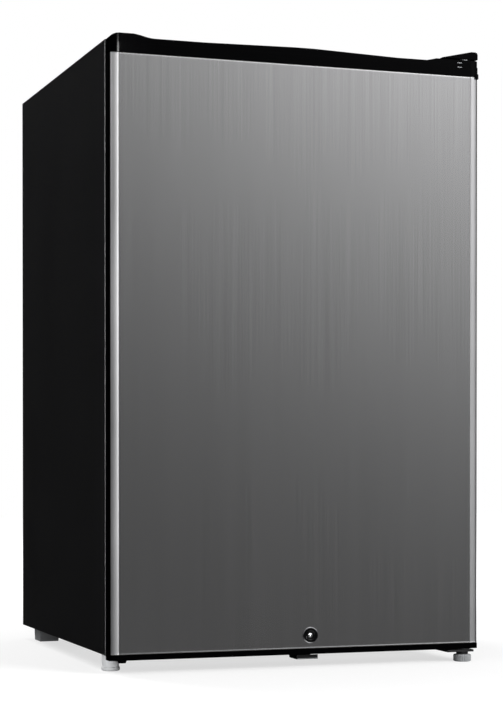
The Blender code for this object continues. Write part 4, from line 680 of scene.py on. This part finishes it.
def door_lock():
    """The lock's ring, and its core with the keyway."""
    low, high = corners("lock_housing")
    middle = (low + high) / 2
    centre = (middle.x, 0, middle.z)
    ring = (high.x - low.x) / 2
    core_low, core_high = corners("lock_core")
    core = (core_high.x - core_low.x) / 2
    front = low.y
    bore = core + LOCK_BORE_GAP
    rim = [(ring - inset, front + back) for inset, back in RIM_LIP]
    rim += [(ring, DOOR_FRONT - RIM_SEAT), (ring - RIM_LIP[0][0], DOOR_FRONT - RIM_SEAT)]
    rim_look = lathe(rim, centre, "Y", LOCK_SIDES, closed=True)
    added(flush(rim_look, "lock_rim", "chrome", smooth=40), "lock_housing")
    profile = [(bore, core_low.y + BORE_DEPTH)]
    profile += [(bore + outset, front + back) for outset, back in BORE_LIP]
    profile += [(ring - inset, front + back) for inset, back in RING_LIP]
    profile += [
        (ring, DOOR_FRONT - RING_SEAT),
        (ring - LOCK_SLEEVE, DOOR_FRONT - RING_SEAT),
        (ring - LOCK_SLEEVE, high.y),
        (bore, high.y),
    ]
    ring_look = lathe(profile, centre, "Y", LOCK_SIDES, closed=True)
    standing_for(flush(ring_look, "lock_ring", "lock_black", smooth=40), "lock_housing")
    face = DOOR_FRONT - PLUG_PROUD
    outline = [(core * share, face + back) for share, back in PLUG_FACE]
    outline += [
        (core - PLUG_EDGE, face + PLUG_EASE),
        (core, face + PLUG_RECESS),
        (core, core_high.y),
        (0, core_high.y),
    ]
    plug = lathe(outline, centre, "Y")
    standing_for(flush(plug, "lock_plug", "lock_black", smooth=40), "lock_core")
    crest = face - PLUG_RECESS
    dome = [(0, crest)]
    for step in range(1, DOME_STEPS + 1):
        fall = PLUG_RECESS * (step / DOME_STEPS) ** 2
        dome.append((DOME_RADIUS * step / DOME_STEPS, crest + fall))
    dome += [(DOME_RADIUS, face + PLUG_RECESS), (0, face + PLUG_RECESS)]
    bar_low = (middle.x - WAY_HALF, face - WAY_PROUD, middle.z - WAY_THIN)
    bar_high = (middle.x + WAY_HALF, face + PLUG_RECESS, middle.z + WAY_THIN)
    bar = block(bar_low, bar_high, WAY_RADIUS, segments=1)
    way = gathered(lathe(dome, centre, "Y", sides=32), bar)
    added(flush(way, "lock_keyway", "chrome"), "lock_core")


# Radius and segments of the rounded edges round the hinges and the gasket.
EASED_NODES = (
    ("top_hinge_cover", 0.0010, 3),
    ("top_hinge_bracket", 0.0003, 2),
    ("bottom_hinge_bracket", 0.0004, 2),
    ("spare_hole_plug", 0.0, 2),
    ("door_gasket", 0.0004, 2),
    ("front_crossrail", 0.0003, 2),
)
# The bright lip of the strike: in from its sides, proud of its front, depth and height.
STRIKE_INSET = 0.0005
STRIKE_PROUD = 0.0001
STRIKE_DEPTH = 0.004
STRIKE_HEIGHT = 0.0014


def hinge_pieces():
    for node, radius, segments in EASED_NODES:
        soft_copy(node, radius, segments)
    soft_copy("lock_strike", SMALL_RADIUS, material="black_steel")
    low, high = corners("lock_strike")
    lip_low = (low.x + STRIKE_INSET, low.y - STRIKE_PROUD, low.z)
    lip_high = (high.x - STRIKE_INSET, low.y + STRIKE_DEPTH, low.z + STRIKE_HEIGHT)
    lip = block(lip_low, lip_high, SMALL_RADIUS)
    added(flush(lip, "lock_strike_lip", "zinc_steel"), "lock_strike")


FOOT_COLLAR = BASE - 0.0006
REAR_FOOT_RADIUS = 0.0012
# The feet below their shafts: in from the rim, and height over the floor.
LEFT_FOOT = (
    (0.0016, 0.0),
    (0.0006, 0.0004),
    (0.0001, 0.0012),
    (0.0, 0.002),
    (0.0, 0.0045),
    (0.0012, 0.0052),
    (0.0012, 0.0095),
    (0.0004, 0.0102),
    (0.0004, FOOT_COLLAR - 0.001),
    (0.0014, FOOT_COLLAR),
)
RIGHT_FOOT = (
    (0.0018, 0.0),
    (0.0006, 0.0005),
    (0.0, 0.0016),
    (0.0, 0.0085),
    (0.0008, 0.0096),
    (0.0035, 0.0102),
)
# The shaft's radius and lowest level, and the grooves that cut a band of the foot.
SCREW_FEET = {
    "foot_front_left": dict(
        edge=LEFT_FOOT,
        shaft=0.0037,
        collar=FOOT_COLLAR,
        sides=96,
        grooves=24,
        depth=0.0007,
        band=(0.0098, FOOT_COLLAR - 0.0012),
        material="foot_plastic",
    ),
    "foot_front_right": dict(
        edge=RIGHT_FOOT,
        shaft=0.0038,
        collar=0.0104,
        sides=120,
        grooves=30,
        depth=0.0009,
        band=(0.0012, 0.009),
        material="grey_plastic",
    ),
}
# The six-sided locknut: radius and height.
LOCKNUT = (
    (0.0040, 0.0106),
    (0.0088, 0.0106),
    (0.0092, 0.0110),
    (0.0092, 0.0131),
    (0.0088, 0.0135),
    (0.0040, 0.0135),
)


def screw_foot(node, edge, shaft, collar, sides, grooves, depth, band, material):
    """A grooved foot on its shaft. Returns where its axis meets the floor."""
    low, high = corners(node)
    middle = (low + high) / 2
    radius = (high.x - low.x) / 2
    profile = [(0, 0.0)] + [(radius - inset, height) for inset, height in edge]
    profile += [(shaft, collar), (shaft, high.z), (0, high.z)]
    place = (middle.x, middle.y, 0)
    foot = lathe(profile, place, sides=sides, waves=grooves, depth=depth, band=band)
    standing_for(flush(foot, node + "_look", material), node)
    return place


def feet():
    """The front feet with their grips and the locknut, and the blocks at the rear."""
    places = {node: screw_foot(node, **details) for node, details in SCREW_FEET.items()}
    nut = lathe(LOCKNUT, places["foot_front_right"], sides=6, closed=True)
    nut_look = flush(nut, "foot_front_right_nut", "black_steel", smooth=25)
    added(nut_look, "foot_front_right")
    for node in ("foot_rear_left", "foot_rear_right"):
        soft_copy(node, REAR_FOOT_RADIUS)


FOLD_EDGE = 0.0001
FOLD_RADIUS = 0.0013


def shell():
    """The wrapped cabinet with the fold of its front edge rounded."""

    def on_fold(place):
        outer = abs(place.x) > HALF - FOLD_EDGE or place.z > TOP - FOLD_EDGE
        return outer and place.y < FRONT + FOLD_EDGE

    shape = eased(shape_of("outer_shell"), FOLD_RADIUS, segments=3, where=on_fold)
    standing_for(flush(shape, "outer_shell_look", "black_paint"), "outer_shell")


# The bright folds of the shell: how far they stand out, reach in and stay off its ends.
GLINT_PROUD = 0.00008
GLINT_REACH = 0.0014
GLINT_ENDS = 0.0012
GLINT_RADIUS = 0.0007


def front_folds():
    """The rounded folds of the shell's front edges, which catch the light."""
    for hand, side in (("left", -1), ("right", 1)):
        outer = side * (HALF + GLINT_PROUD)
        inner = side * (HALF - GLINT_REACH)
        low = (min(outer, inner), FRONT - GLINT_PROUD, BASE + GLINT_ENDS)
        high = (max(outer, inner), FRONT + GLINT_REACH, TOP - GLINT_ENDS)
        fold = block(low, high, GLINT_RADIUS, segments=3)
        added(flush(fold, f"shell_fold_{hand}", "black_paint", smooth=60), "outer_shell")


# Nodes that are shown in their own shape, with its flat faces joined.
PLAIN_NODES = (
    "inner_liner", "back_panel", "floor_pan", "compressor_plate", "door_liner",
    "evaporator", "freezer_frame", "freezer_flap", "thermostat_housing", "thermostat_knob",
    "compressor", "relay_cover", "cord_gland", "filter_drier", "drip_tray", "crisper_drawer",
    "door_bin_bottom", "door_bin_middle", "door_bin_top", "shelf_upper_trim", "shelf_lower_trim",
    "condenser_tube", "suction_tube", "discharge_tube", "capillary_tube", "process_tube",
    "compressor_mount_1", "compressor_mount_2", "compressor_mount_3", "compressor_mount_4",
)

# ---------------------------------------------------------------- back

WIRE = 0.0007
# How far a wire's middle lies off the tube's inner side, in its own radii.
WIRE_OFF = 0.9
WIRE_PITCH = 0.0068
# How far the wires stay in from the ends of the tube, over the bars' feet and past the tube.
WIRE_SIDE = 0.006
WIRE_FOOT = 0.030
WIRE_HEAD = 0.008
STRAPS = ("condenser_strap_left", "condenser_strap_right")


def condenser():
    """The wires across the serpentine, welded to its inner side, clear of the two bars."""
    low, high = corners("condenser_tube")
    foot = corners("condenser_strap_left")[0].z + WIRE_FOOT
    level = low.y - WIRE * WIRE_OFF
    side = -low.x - WIRE_SIDE
    bars = [corners(bar) for bar in STRAPS]
    wires = []
    count = int(2 * side / WIRE_PITCH)
    for number in range(count + 1):
        x = -side + 2 * side * number / count
        if any(a.x - WIRE_PITCH / 2 < x < b.x + WIRE_PITCH / 2 for a, b in bars):
            continue
        wires.append(pipe([(x, level, foot), (x, level, high.z + WIRE_HEAD)], WIRE, sides=6))
    look = flush(gathered(*wires), "condenser_wires", "black_steel", smooth=40)
    added(look, "condenser_tube")


PRESSED_AT = (-0.190, -0.060, 0.0, 0.060, 0.190)
PRESSED_WIDTH = 0.014
PRESSED_RISE = 0.0016
PRESSED_FOOT = 0.055
PRESSED_HEAD = 0.060
SCREW_EDGE = 0.010
SIDE_SCREWS = (0.225, 0.375, 0.525, 0.675, 0.820)
TOP_SCREWS = (-0.150, 0.0, 0.150)


def back_details():
    """Pressed beads and screws of the back panel."""
    low, high = corners("back_panel")
    face = high.y
    beads = []
    for x in PRESSED_AT:
        ends = (x, face, low.z + PRESSED_FOOT), (x, face, high.z - PRESSED_HEAD)
        beads.append(pressed(*ends, PRESSED_WIDTH, PRESSED_RISE, (0, 1, 0)))
    added(flush(gathered(*beads), "back_beads", "black_paint", smooth=30), "back_panel")
    places = [(x, z) for x in (low.x + SCREW_EDGE, high.x - SCREW_EDGE) for z in SIDE_SCREWS]
    places += [(x, high.z - SCREW_EDGE) for x in TOP_SCREWS]
    screws = [hex_screw((x, face, z)) for x, z in places]
    added(flush(gathered(*screws), "back_screws", "zinc_steel", smooth=30), "back_panel")


# A washer and a nut on a compressor mount: radius and height.
MOUNT_WASHER = ((0.0036, 0), (0.0075, 0), (0.0075, 0.001), (0.0036, 0.001))
MOUNT_NUT = ((0, 0.001), (0.0050, 0.001), (0.0050, 0.0042), (0.0042, 0.0050), (0, 0.0050))
MOUNT_SUNK = 0.0035
MOUNTS = 4
# The relay's clip: how far it stands off the cover, in from its end, and where its legs end.
RELAY_GAP = 0.0016
RELAY_INSET = 0.006
RELAY_BEND = 0.006
RELAY_WIRE = 0.0009
RELAY_DROP = 0.6


def compressor_details():
    """Nuts on the mounts, and the relay's clip."""
    nuts = []
    for number in range(1, MOUNTS + 1):
        low, high = corners(f"compressor_mount_{number}")
        middle = (low + high) / 2
        place = (middle.x, middle.y, high.z - MOUNT_SUNK)
        washer = lathe(MOUNT_WASHER, place, sides=24, closed=True)
        nuts.append(gathered(washer, lathe(MOUNT_NUT, place, sides=6)))
    added(flush(gathered(*nuts), "mount_nuts", "zinc_steel", smooth=30), "compressor")
    low, high = corners("relay_cover")
    x = low.x + RELAY_INSET
    front, rear = low.y - RELAY_GAP, high.y + RELAY_GAP
    foot = high.z * RELAY_DROP + low.z * (1 - RELAY_DROP)
    over = high.z + RELAY_GAP
    line = [
        (x, front, foot),
        (x, front, over),
        (high.x + RELAY_GAP, (low.y + high.y) / 2, over),
        (x, rear, over),
        (x, rear, foot),
    ]
    clip = pipe(bent(line, RELAY_BEND), RELAY_WIRE)
    added(flush(clip, "relay_clip", "zinc_steel", smooth=40), "relay_cover")


# ---------------------------------------------------------------- inside

CHANNEL_RADIUS = 0.0022
CHANNEL_INSET = 0.024
CHANNEL_ENDS = 0.030
CHANNEL_BED = 0.0004
CHANNEL_SIDE_BED = 0.0010
FLOOR_RUNS = 6
FLOOR_BEND = 0.018
SIDE_RUNS = 3
SIDE_START = 0.030
SIDE_PITCH = 0.040
SIDE_BEND = 0.016


def channel(name, route, bend):
    shape = pipe(bent(route, bend, steps=5), CHANNEL_RADIUS)
    added(flush(shape, name, "aluminium", smooth=40), "evaporator")


def evaporator_channels():
    """The raised channels of the freezer box, along its floor and up its sides."""
    low, high = corners("evaporator")
    reach = (high.x - low.x) / 2 - CHANNEL_INSET
    middle = (low.x + high.x) / 2
    front = low.y + CHANNEL_ENDS
    rear = high.y - CHANNEL_ENDS
    route = []
    for run in range(FLOOR_RUNS):
        y = front + (rear - front) * run / (FLOOR_RUNS - 1)
        ends = (-reach, reach) if run % 2 == 0 else (reach, -reach)
        route += [(middle + end, y, low.z + CHANNEL_BED) for end in ends]
    channel("channel_floor", route, FLOOR_BEND)
    for name, x, inward in (("left", low.x, 1), ("right", high.x, -1)):
        route = []
        for run in range(SIDE_RUNS):
            z = low.z + SIDE_START + SIDE_PITCH * run
            ends = (front, rear) if run % 2 == 0 else (rear, front)
            route += [(x + inward * CHANNEL_SIDE_BED, y, z) for y in ends]
        channel(f"channel_{name}", route, SIDE_BEND)


DIAL_MARKS = 8
# Where the marks start and how far they go round, in degrees.
DIAL_START = 225
DIAL_SWEEP = 270
DIAL_GAP = 0.0022
# The marks grow from the first to the last.
MARK_LENGTH = 0.0018
MARK_GROWTH = 0.0007
MARK_WIDTH = 0.0012
MARK_RISE = 0.0004


def dial():
    """The thermostat's dial marks, which grow round the knob."""
    low, high = corners("thermostat_knob")
    middle = (low + high) / 2
    centre = Vector((middle.x, corners("thermostat_housing")[0].y, middle.z))
    inner = (high.x - low.x) / 2 + DIAL_GAP
    marks = []
    for number in range(DIAL_MARKS):
        turn = math.radians(DIAL_START - DIAL_SWEEP * number / (DIAL_MARKS - 1))
        outer = inner + (MARK_LENGTH + MARK_GROWTH * number)
        way = Vector((math.cos(turn), 0, math.sin(turn)))
        ends = centre + way * inner, centre + way * outer
        marks.append(pressed(*ends, MARK_WIDTH, MARK_RISE, (0, -1, 0), sides=4, steps=2))
    look = flush(gathered(*marks), "dial_marks", "gasket_rubber", smooth=30)
    added(look, "thermostat_housing")


DRAWER_RIBS = 9
DRAWER_EDGE = 0.030
DRAWER_FACE = 0.0080
DRAWER_FOOT = 0.016
DRAWER_HEAD = 0.036
DRAWER_RIB_WIDTH = 0.005
DRAWER_RIB_RISE = 0.0012


def drawer_ribs():
    """Moulded ribs on the drawer's front."""
    low, high = corners("crisper_drawer")
    y = low.y + DRAWER_FACE
    width = high.x - low.x - 2 * DRAWER_EDGE
    ribs = []
    for number in range(DRAWER_RIBS):
        x = low.x + DRAWER_EDGE + width * number / (DRAWER_RIBS - 1)
        ends = (x, y, low.z + DRAWER_FOOT), (x, y, high.z - DRAWER_HEAD)
        size = DRAWER_RIB_WIDTH, DRAWER_RIB_RISE
        ribs.append(pressed(*ends, *size, (0, -1, 0), sides=6, steps=3))
    look = flush(gathered(*ribs), "drawer_ribs", "clear_plastic", smooth=40)
    added(look, "crisper_drawer")


# ---------------------------------------------------------------- floor, light and camera


def direction(azimuth, elevation):
    """A unit vector. Azimuth 0 points out of the door and 90 to its right."""
    turn = math.radians(azimuth)
    rise = math.radians(elevation)
    level = math.cos(rise)
    return Vector((math.sin(turn) * level, -math.cos(turn) * level, math.sin(rise)))


# What the glossy surfaces mirror. A glow has its direction, its sharpness, its strength and the
# most that it reaches.
GLOWS = (
    (direction(37, 25), 30, 5.17, 6.0),
    (direction(58, 20), 14, 0.54, 6.0),
    (direction(10, -30), 8, 0.216, 6.0),
)
# A soft panel has its direction, the cosines where it starts and where it is full, and its
# strength.
PANELS = (
    (direction(0, 90), 0.55, 0.95, 0.5),
    (direction(10, 75), 0.86, 0.98, 1.5),
    (direction(130, 20), 0.60, 0.95, 0.4),
    (direction(-60, 35), 0.80, 0.97, 0.5),
    (direction(5, -45), 0.80, 0.94, 0.55),
    (direction(0, -75), 0.70, 0.95, 0.8),
)
ROOM = 0.002
ROOM_COLOUR = (0.14, 0.14, 0.142, 1)
# The distances between which the floor's own glow rises, and the glow near and far: a painted
# shadow, dimmer near the object.
FLOOR_PAINTED_SHADOW = (0.45, 1.3, 0.67, 1.0)
FLOOR_REACH = 6.0
FLOOR_MATTE = (0.5, 0.5, 0.5, 1)
FLOOR_SHADE = (0.36, 0.36, 0.36, 1)


def by_ray(tree, plain, glossy, seen):
    """Mixes three shaders: for the light, for mirrored rays and for the camera."""
    path = tree.nodes.new("ShaderNodeLightPath")
    for ray, shader in (("Is Glossy Ray", glossy), ("Is Camera Ray", seen)):
        mixed = tree.nodes.new("ShaderNodeMixShader")
        tree.links.new(path.outputs[ray], mixed.inputs["Fac"])
        tree.links.new(plain, mixed.inputs[1])
        tree.links.new(shader, mixed.inputs[2])
        plain = mixed.outputs["Shader"]
    return plain


def world_light():
    world = bpy.data.worlds.new("studio")
    scene.world = world
    world.use_nodes = True
    nodes = world.node_tree.nodes
    links = world.node_tree.links
    nodes.clear()
    place = nodes.new("ShaderNodeTexCoord")

    def work(operation, first, second):
        node = nodes.new("ShaderNodeMath")
        node.operation = operation
        for socket, value in zip(node.inputs, (first, second)):
            if isinstance(value, (int, float)):
                socket.default_value = value
            else:
                links.new(value, socket)
        return node.outputs["Value"]

    def facing(towards):
        node = nodes.new("ShaderNodeVectorMath")
        node.operation = "DOT_PRODUCT"
        node.inputs[1].default_value = towards
        links.new(place.outputs["Generated"], node.inputs[0])
        return node.outputs["Value"]

    total = ROOM
    for towards, sharpness, strength, most in GLOWS:
        fall = work("MULTIPLY", work("SUBTRACT", facing(towards), 1.0), sharpness)
        glow = work("MULTIPLY", work("EXPONENT", fall, 0.0), strength)
        total = work("ADD", work("MINIMUM", glow, most), total)
    for towards, start, full, strength in PANELS:
        glow = nodes.new("ShaderNodeMapRange")
        glow.interpolation_type = "SMOOTHSTEP"
        glow.inputs["From Min"].default_value = start
        glow.inputs["From Max"].default_value = full
        glow.inputs["To Max"].default_value = strength
        links.new(facing(towards), glow.inputs["Value"])
        total = work("ADD", glow.outputs["Result"], total)
    room = nodes.new("ShaderNodeBackground")
    room.inputs["Color"].default_value = ROOM_COLOUR
    mirrors = nodes.new("ShaderNodeBackground")
    links.new(total, mirrors.inputs["Strength"])
    white = nodes.new("ShaderNodeBackground")
    white.inputs["Color"].default_value = (1, 1, 1, 1)
    out = nodes.new("ShaderNodeOutputWorld")
    shaders = [node.outputs["Background"] for node in (room, mirrors, white)]
    links.new(by_ray(world.node_tree, *shaders), out.inputs["Surface"])


def floor():
    """White to the camera but for a faint shadow, part cast and part painted as a dimmer glow near
    the object, open to mirrored rays, pale to the light.
    """
    reach = FLOOR_REACH
    mesh = bpy.data.meshes.new("floor")
    square = [(-reach, -reach, 0), (reach, -reach, 0), (reach, reach, 0), (-reach, reach, 0)]
    mesh.from_pydata(square, [], [(0, 1, 2, 3)])
    plane = bpy.data.objects.new("floor", mesh)
    scene.collection.objects.link(plane)
    material = bpy.data.materials.new("floor")
    material.use_nodes = True
    nodes = material.node_tree.nodes
    links = material.node_tree.links
    nodes.clear()
    matte = nodes.new("ShaderNodeBsdfDiffuse")
    matte.inputs["Color"].default_value = FLOOR_MATTE
    place = nodes.new("ShaderNodeTexCoord")
    away = nodes.new("ShaderNodeVectorMath")
    away.operation = "LENGTH"
    # The camera sees the floor's glow dimmer near the object: a painted shadow.
    painted_shadow = nodes.new("ShaderNodeMapRange")
    painted_shadow.interpolation_type = "SMOOTHSTEP"
    for socket, value in zip(("From Min", "From Max", "To Min", "To Max"), FLOOR_PAINTED_SHADOW):
        painted_shadow.inputs[socket].default_value = value
    glow = nodes.new("ShaderNodeEmission")
    links.new(place.outputs["Object"], away.inputs[0])
    links.new(away.outputs["Value"], painted_shadow.inputs["Value"])
    links.new(painted_shadow.outputs["Result"], glow.inputs["Strength"])
    shade = nodes.new("ShaderNodeBsdfDiffuse")
    shade.inputs["Color"].default_value = FLOOR_SHADE
    seen = nodes.new("ShaderNodeAddShader")
    clear = nodes.new("ShaderNodeBsdfTransparent")
    out = nodes.new("ShaderNodeOutputMaterial")
    links.new(glow.outputs["Emission"], seen.inputs[0])
    links.new(shade.outputs["BSDF"], seen.inputs[1])
    shaders = (matte.outputs["BSDF"], clear.outputs["BSDF"], seen.outputs["Shader"])
    links.new(by_ray(material.node_tree, *shaders), out.inputs["Surface"])
    mesh.materials.append(material)


# By name: place, what it points at, width and height, and power in watts.
LAMPS = {
    "key": ((1.9, FRONT - 2.7, 1.9), (0.1, FRONT, 0.6), (1.6, 1.6), 130),
    "front_left": ((-1.6, FRONT - 2.6, 1.6), (-0.2, FRONT, 0.5), (1.2, 1.6), 10),
    "overhead": ((0.0, 0.2, 2.6), (0, 0, 0), (2.0, 2.0), 30),
    "behind": ((-1.3, BACK + 2.8, 1.8), (0, BACK, 0.5), (1.6, 1.6), 110),
    "left_strip_lamp": ((0.5, FRONT - 2.4, 0.8), (-0.26, FRONT, 0.50), (0.3, 1.6), 13),
    "high_strip_lamp": ((-1.5, FRONT - 2.1, 1.4), (-0.26, FRONT, 0.75), (0.4, 0.6), 2.8),
    "right_strip_lamp": ((-0.12, FRONT - 2.45, 0.9), (0.26, FRONT, 0.50), (0.3, 1.6), 8),
    "left_glint": ((0.26, FRONT - 2.55, 0.67), (-0.25, FRONT, 0.45), (0.16, 1.4), 90),
    "right_glint": ((2.3, FRONT - 0.2, 0.70), (0.26, FRONT, 0.5), (0.25, 1.0), 60),
    "foot_lamp": ((-1.6, FRONT - 2.2, 0.35), (-0.25, FRONT, 0.02), (0.6, 0.5), 26),
    "fold_glint": ((-2.5, FRONT - 0.2, 0.8), (-0.26, FRONT, 0.5), (0.5, 1.6), 220),
}
STRIPS = ("door_strip_left", "door_strip_right")
CAPS = ("door_top_cap_look", "door_bottom_cap_look")
# These lamps leave out the strips, which have their own.
STRIPLESS = ("key", "front_left", "overhead")
# These light only the named pieces: both their matte and their gloss, or their gloss alone.
LIT_WHOLE = {
    "left_strip_lamp": STRIPS[:1],
    "high_strip_lamp": STRIPS[:1],
    "right_strip_lamp": STRIPS[1:],
    "foot_lamp": ("foot_front_left_look",),
}
LIT_GLOSS = {
    "left_glint": CAPS + ("lock_keyway",),
    "right_glint": CAPS + ("lock_ring", "lock_plug"),
    "fold_glint": ("shell_fold_left", "shell_fold_right"),
}


def area_light(name, place, target, size, power):
    light = bpy.data.lights.new(name, "AREA")
    light.shape = "RECTANGLE"
    light.size, light.size_y = size
    light.energy = power
    made = bpy.data.objects.new(name, light)
    made.location = place
    aim = Vector(target) - Vector(place)
    made.rotation_euler = aim.to_track_quat("-Z", "Y").to_euler()
    made.visible_glossy = False
    made.visible_camera = False
    scene.collection.objects.link(made)
    return made


def link_light(lamp, pieces, left_out=False):
    """Keeps a lamp's light to the named pieces, or shades them from it."""
    receivers = bpy.data.collections.new(f"{lamp.name}_receivers")
    for piece in pieces:
        receivers.objects.link(bpy.data.objects[piece])
    if left_out:
        for member in receivers.collection_objects:
            member.light_linking.link_state = "EXCLUDE"
    lamp.light_linking.receiver_collection = receivers


def lamps():
    """The studio lamps, and the linked ones that reach single pieces only."""
    for name, settings in LAMPS.items():
        lamp = area_light(name, *settings)
        if name in STRIPLESS:
            link_light(lamp, STRIPS, left_out=True)
        for group, matte in ((LIT_WHOLE, True), (LIT_GLOSS, False)):
            if name in group:
                link_light(lamp, group[name])
                lamp.visible_glossy = True
                lamp.visible_diffuse = matte


SENSOR = 36.0
LENS = 96.524
SHIFT = 0.15845
FAR = 50.0
CAMERA_PLACE = (-0.92970, FRONT - 2.50129, BASE + 0.26785)
CAMERA_TILT = 89.4022
CAMERA_TURN = -19.2291


def camera():
    data = bpy.data.cameras.new("camera")
    data.sensor_width = SENSOR
    data.lens = LENS
    data.shift_y = SHIFT
    data.clip_end = FAR
    made = bpy.data.objects.new("camera", data)
    made.location = CAMERA_PLACE
    made.rotation_euler = (math.radians(CAMERA_TILT), 0, math.radians(CAMERA_TURN))
    scene.collection.objects.link(made)
    scene.camera = made


# ---------------------------------------------------------------- the scene

door_face()
door_edges()
door_caps()
door_lock()
hinge_pieces()
feet()
shell()
for node in PLAIN_NODES:
    soft_copy(node)
condenser()
back_details()
compressor_details()
evaporator_channels()
dial()
drawer_ribs()
front_folds()
world_light()
floor()
lamps()
camera()
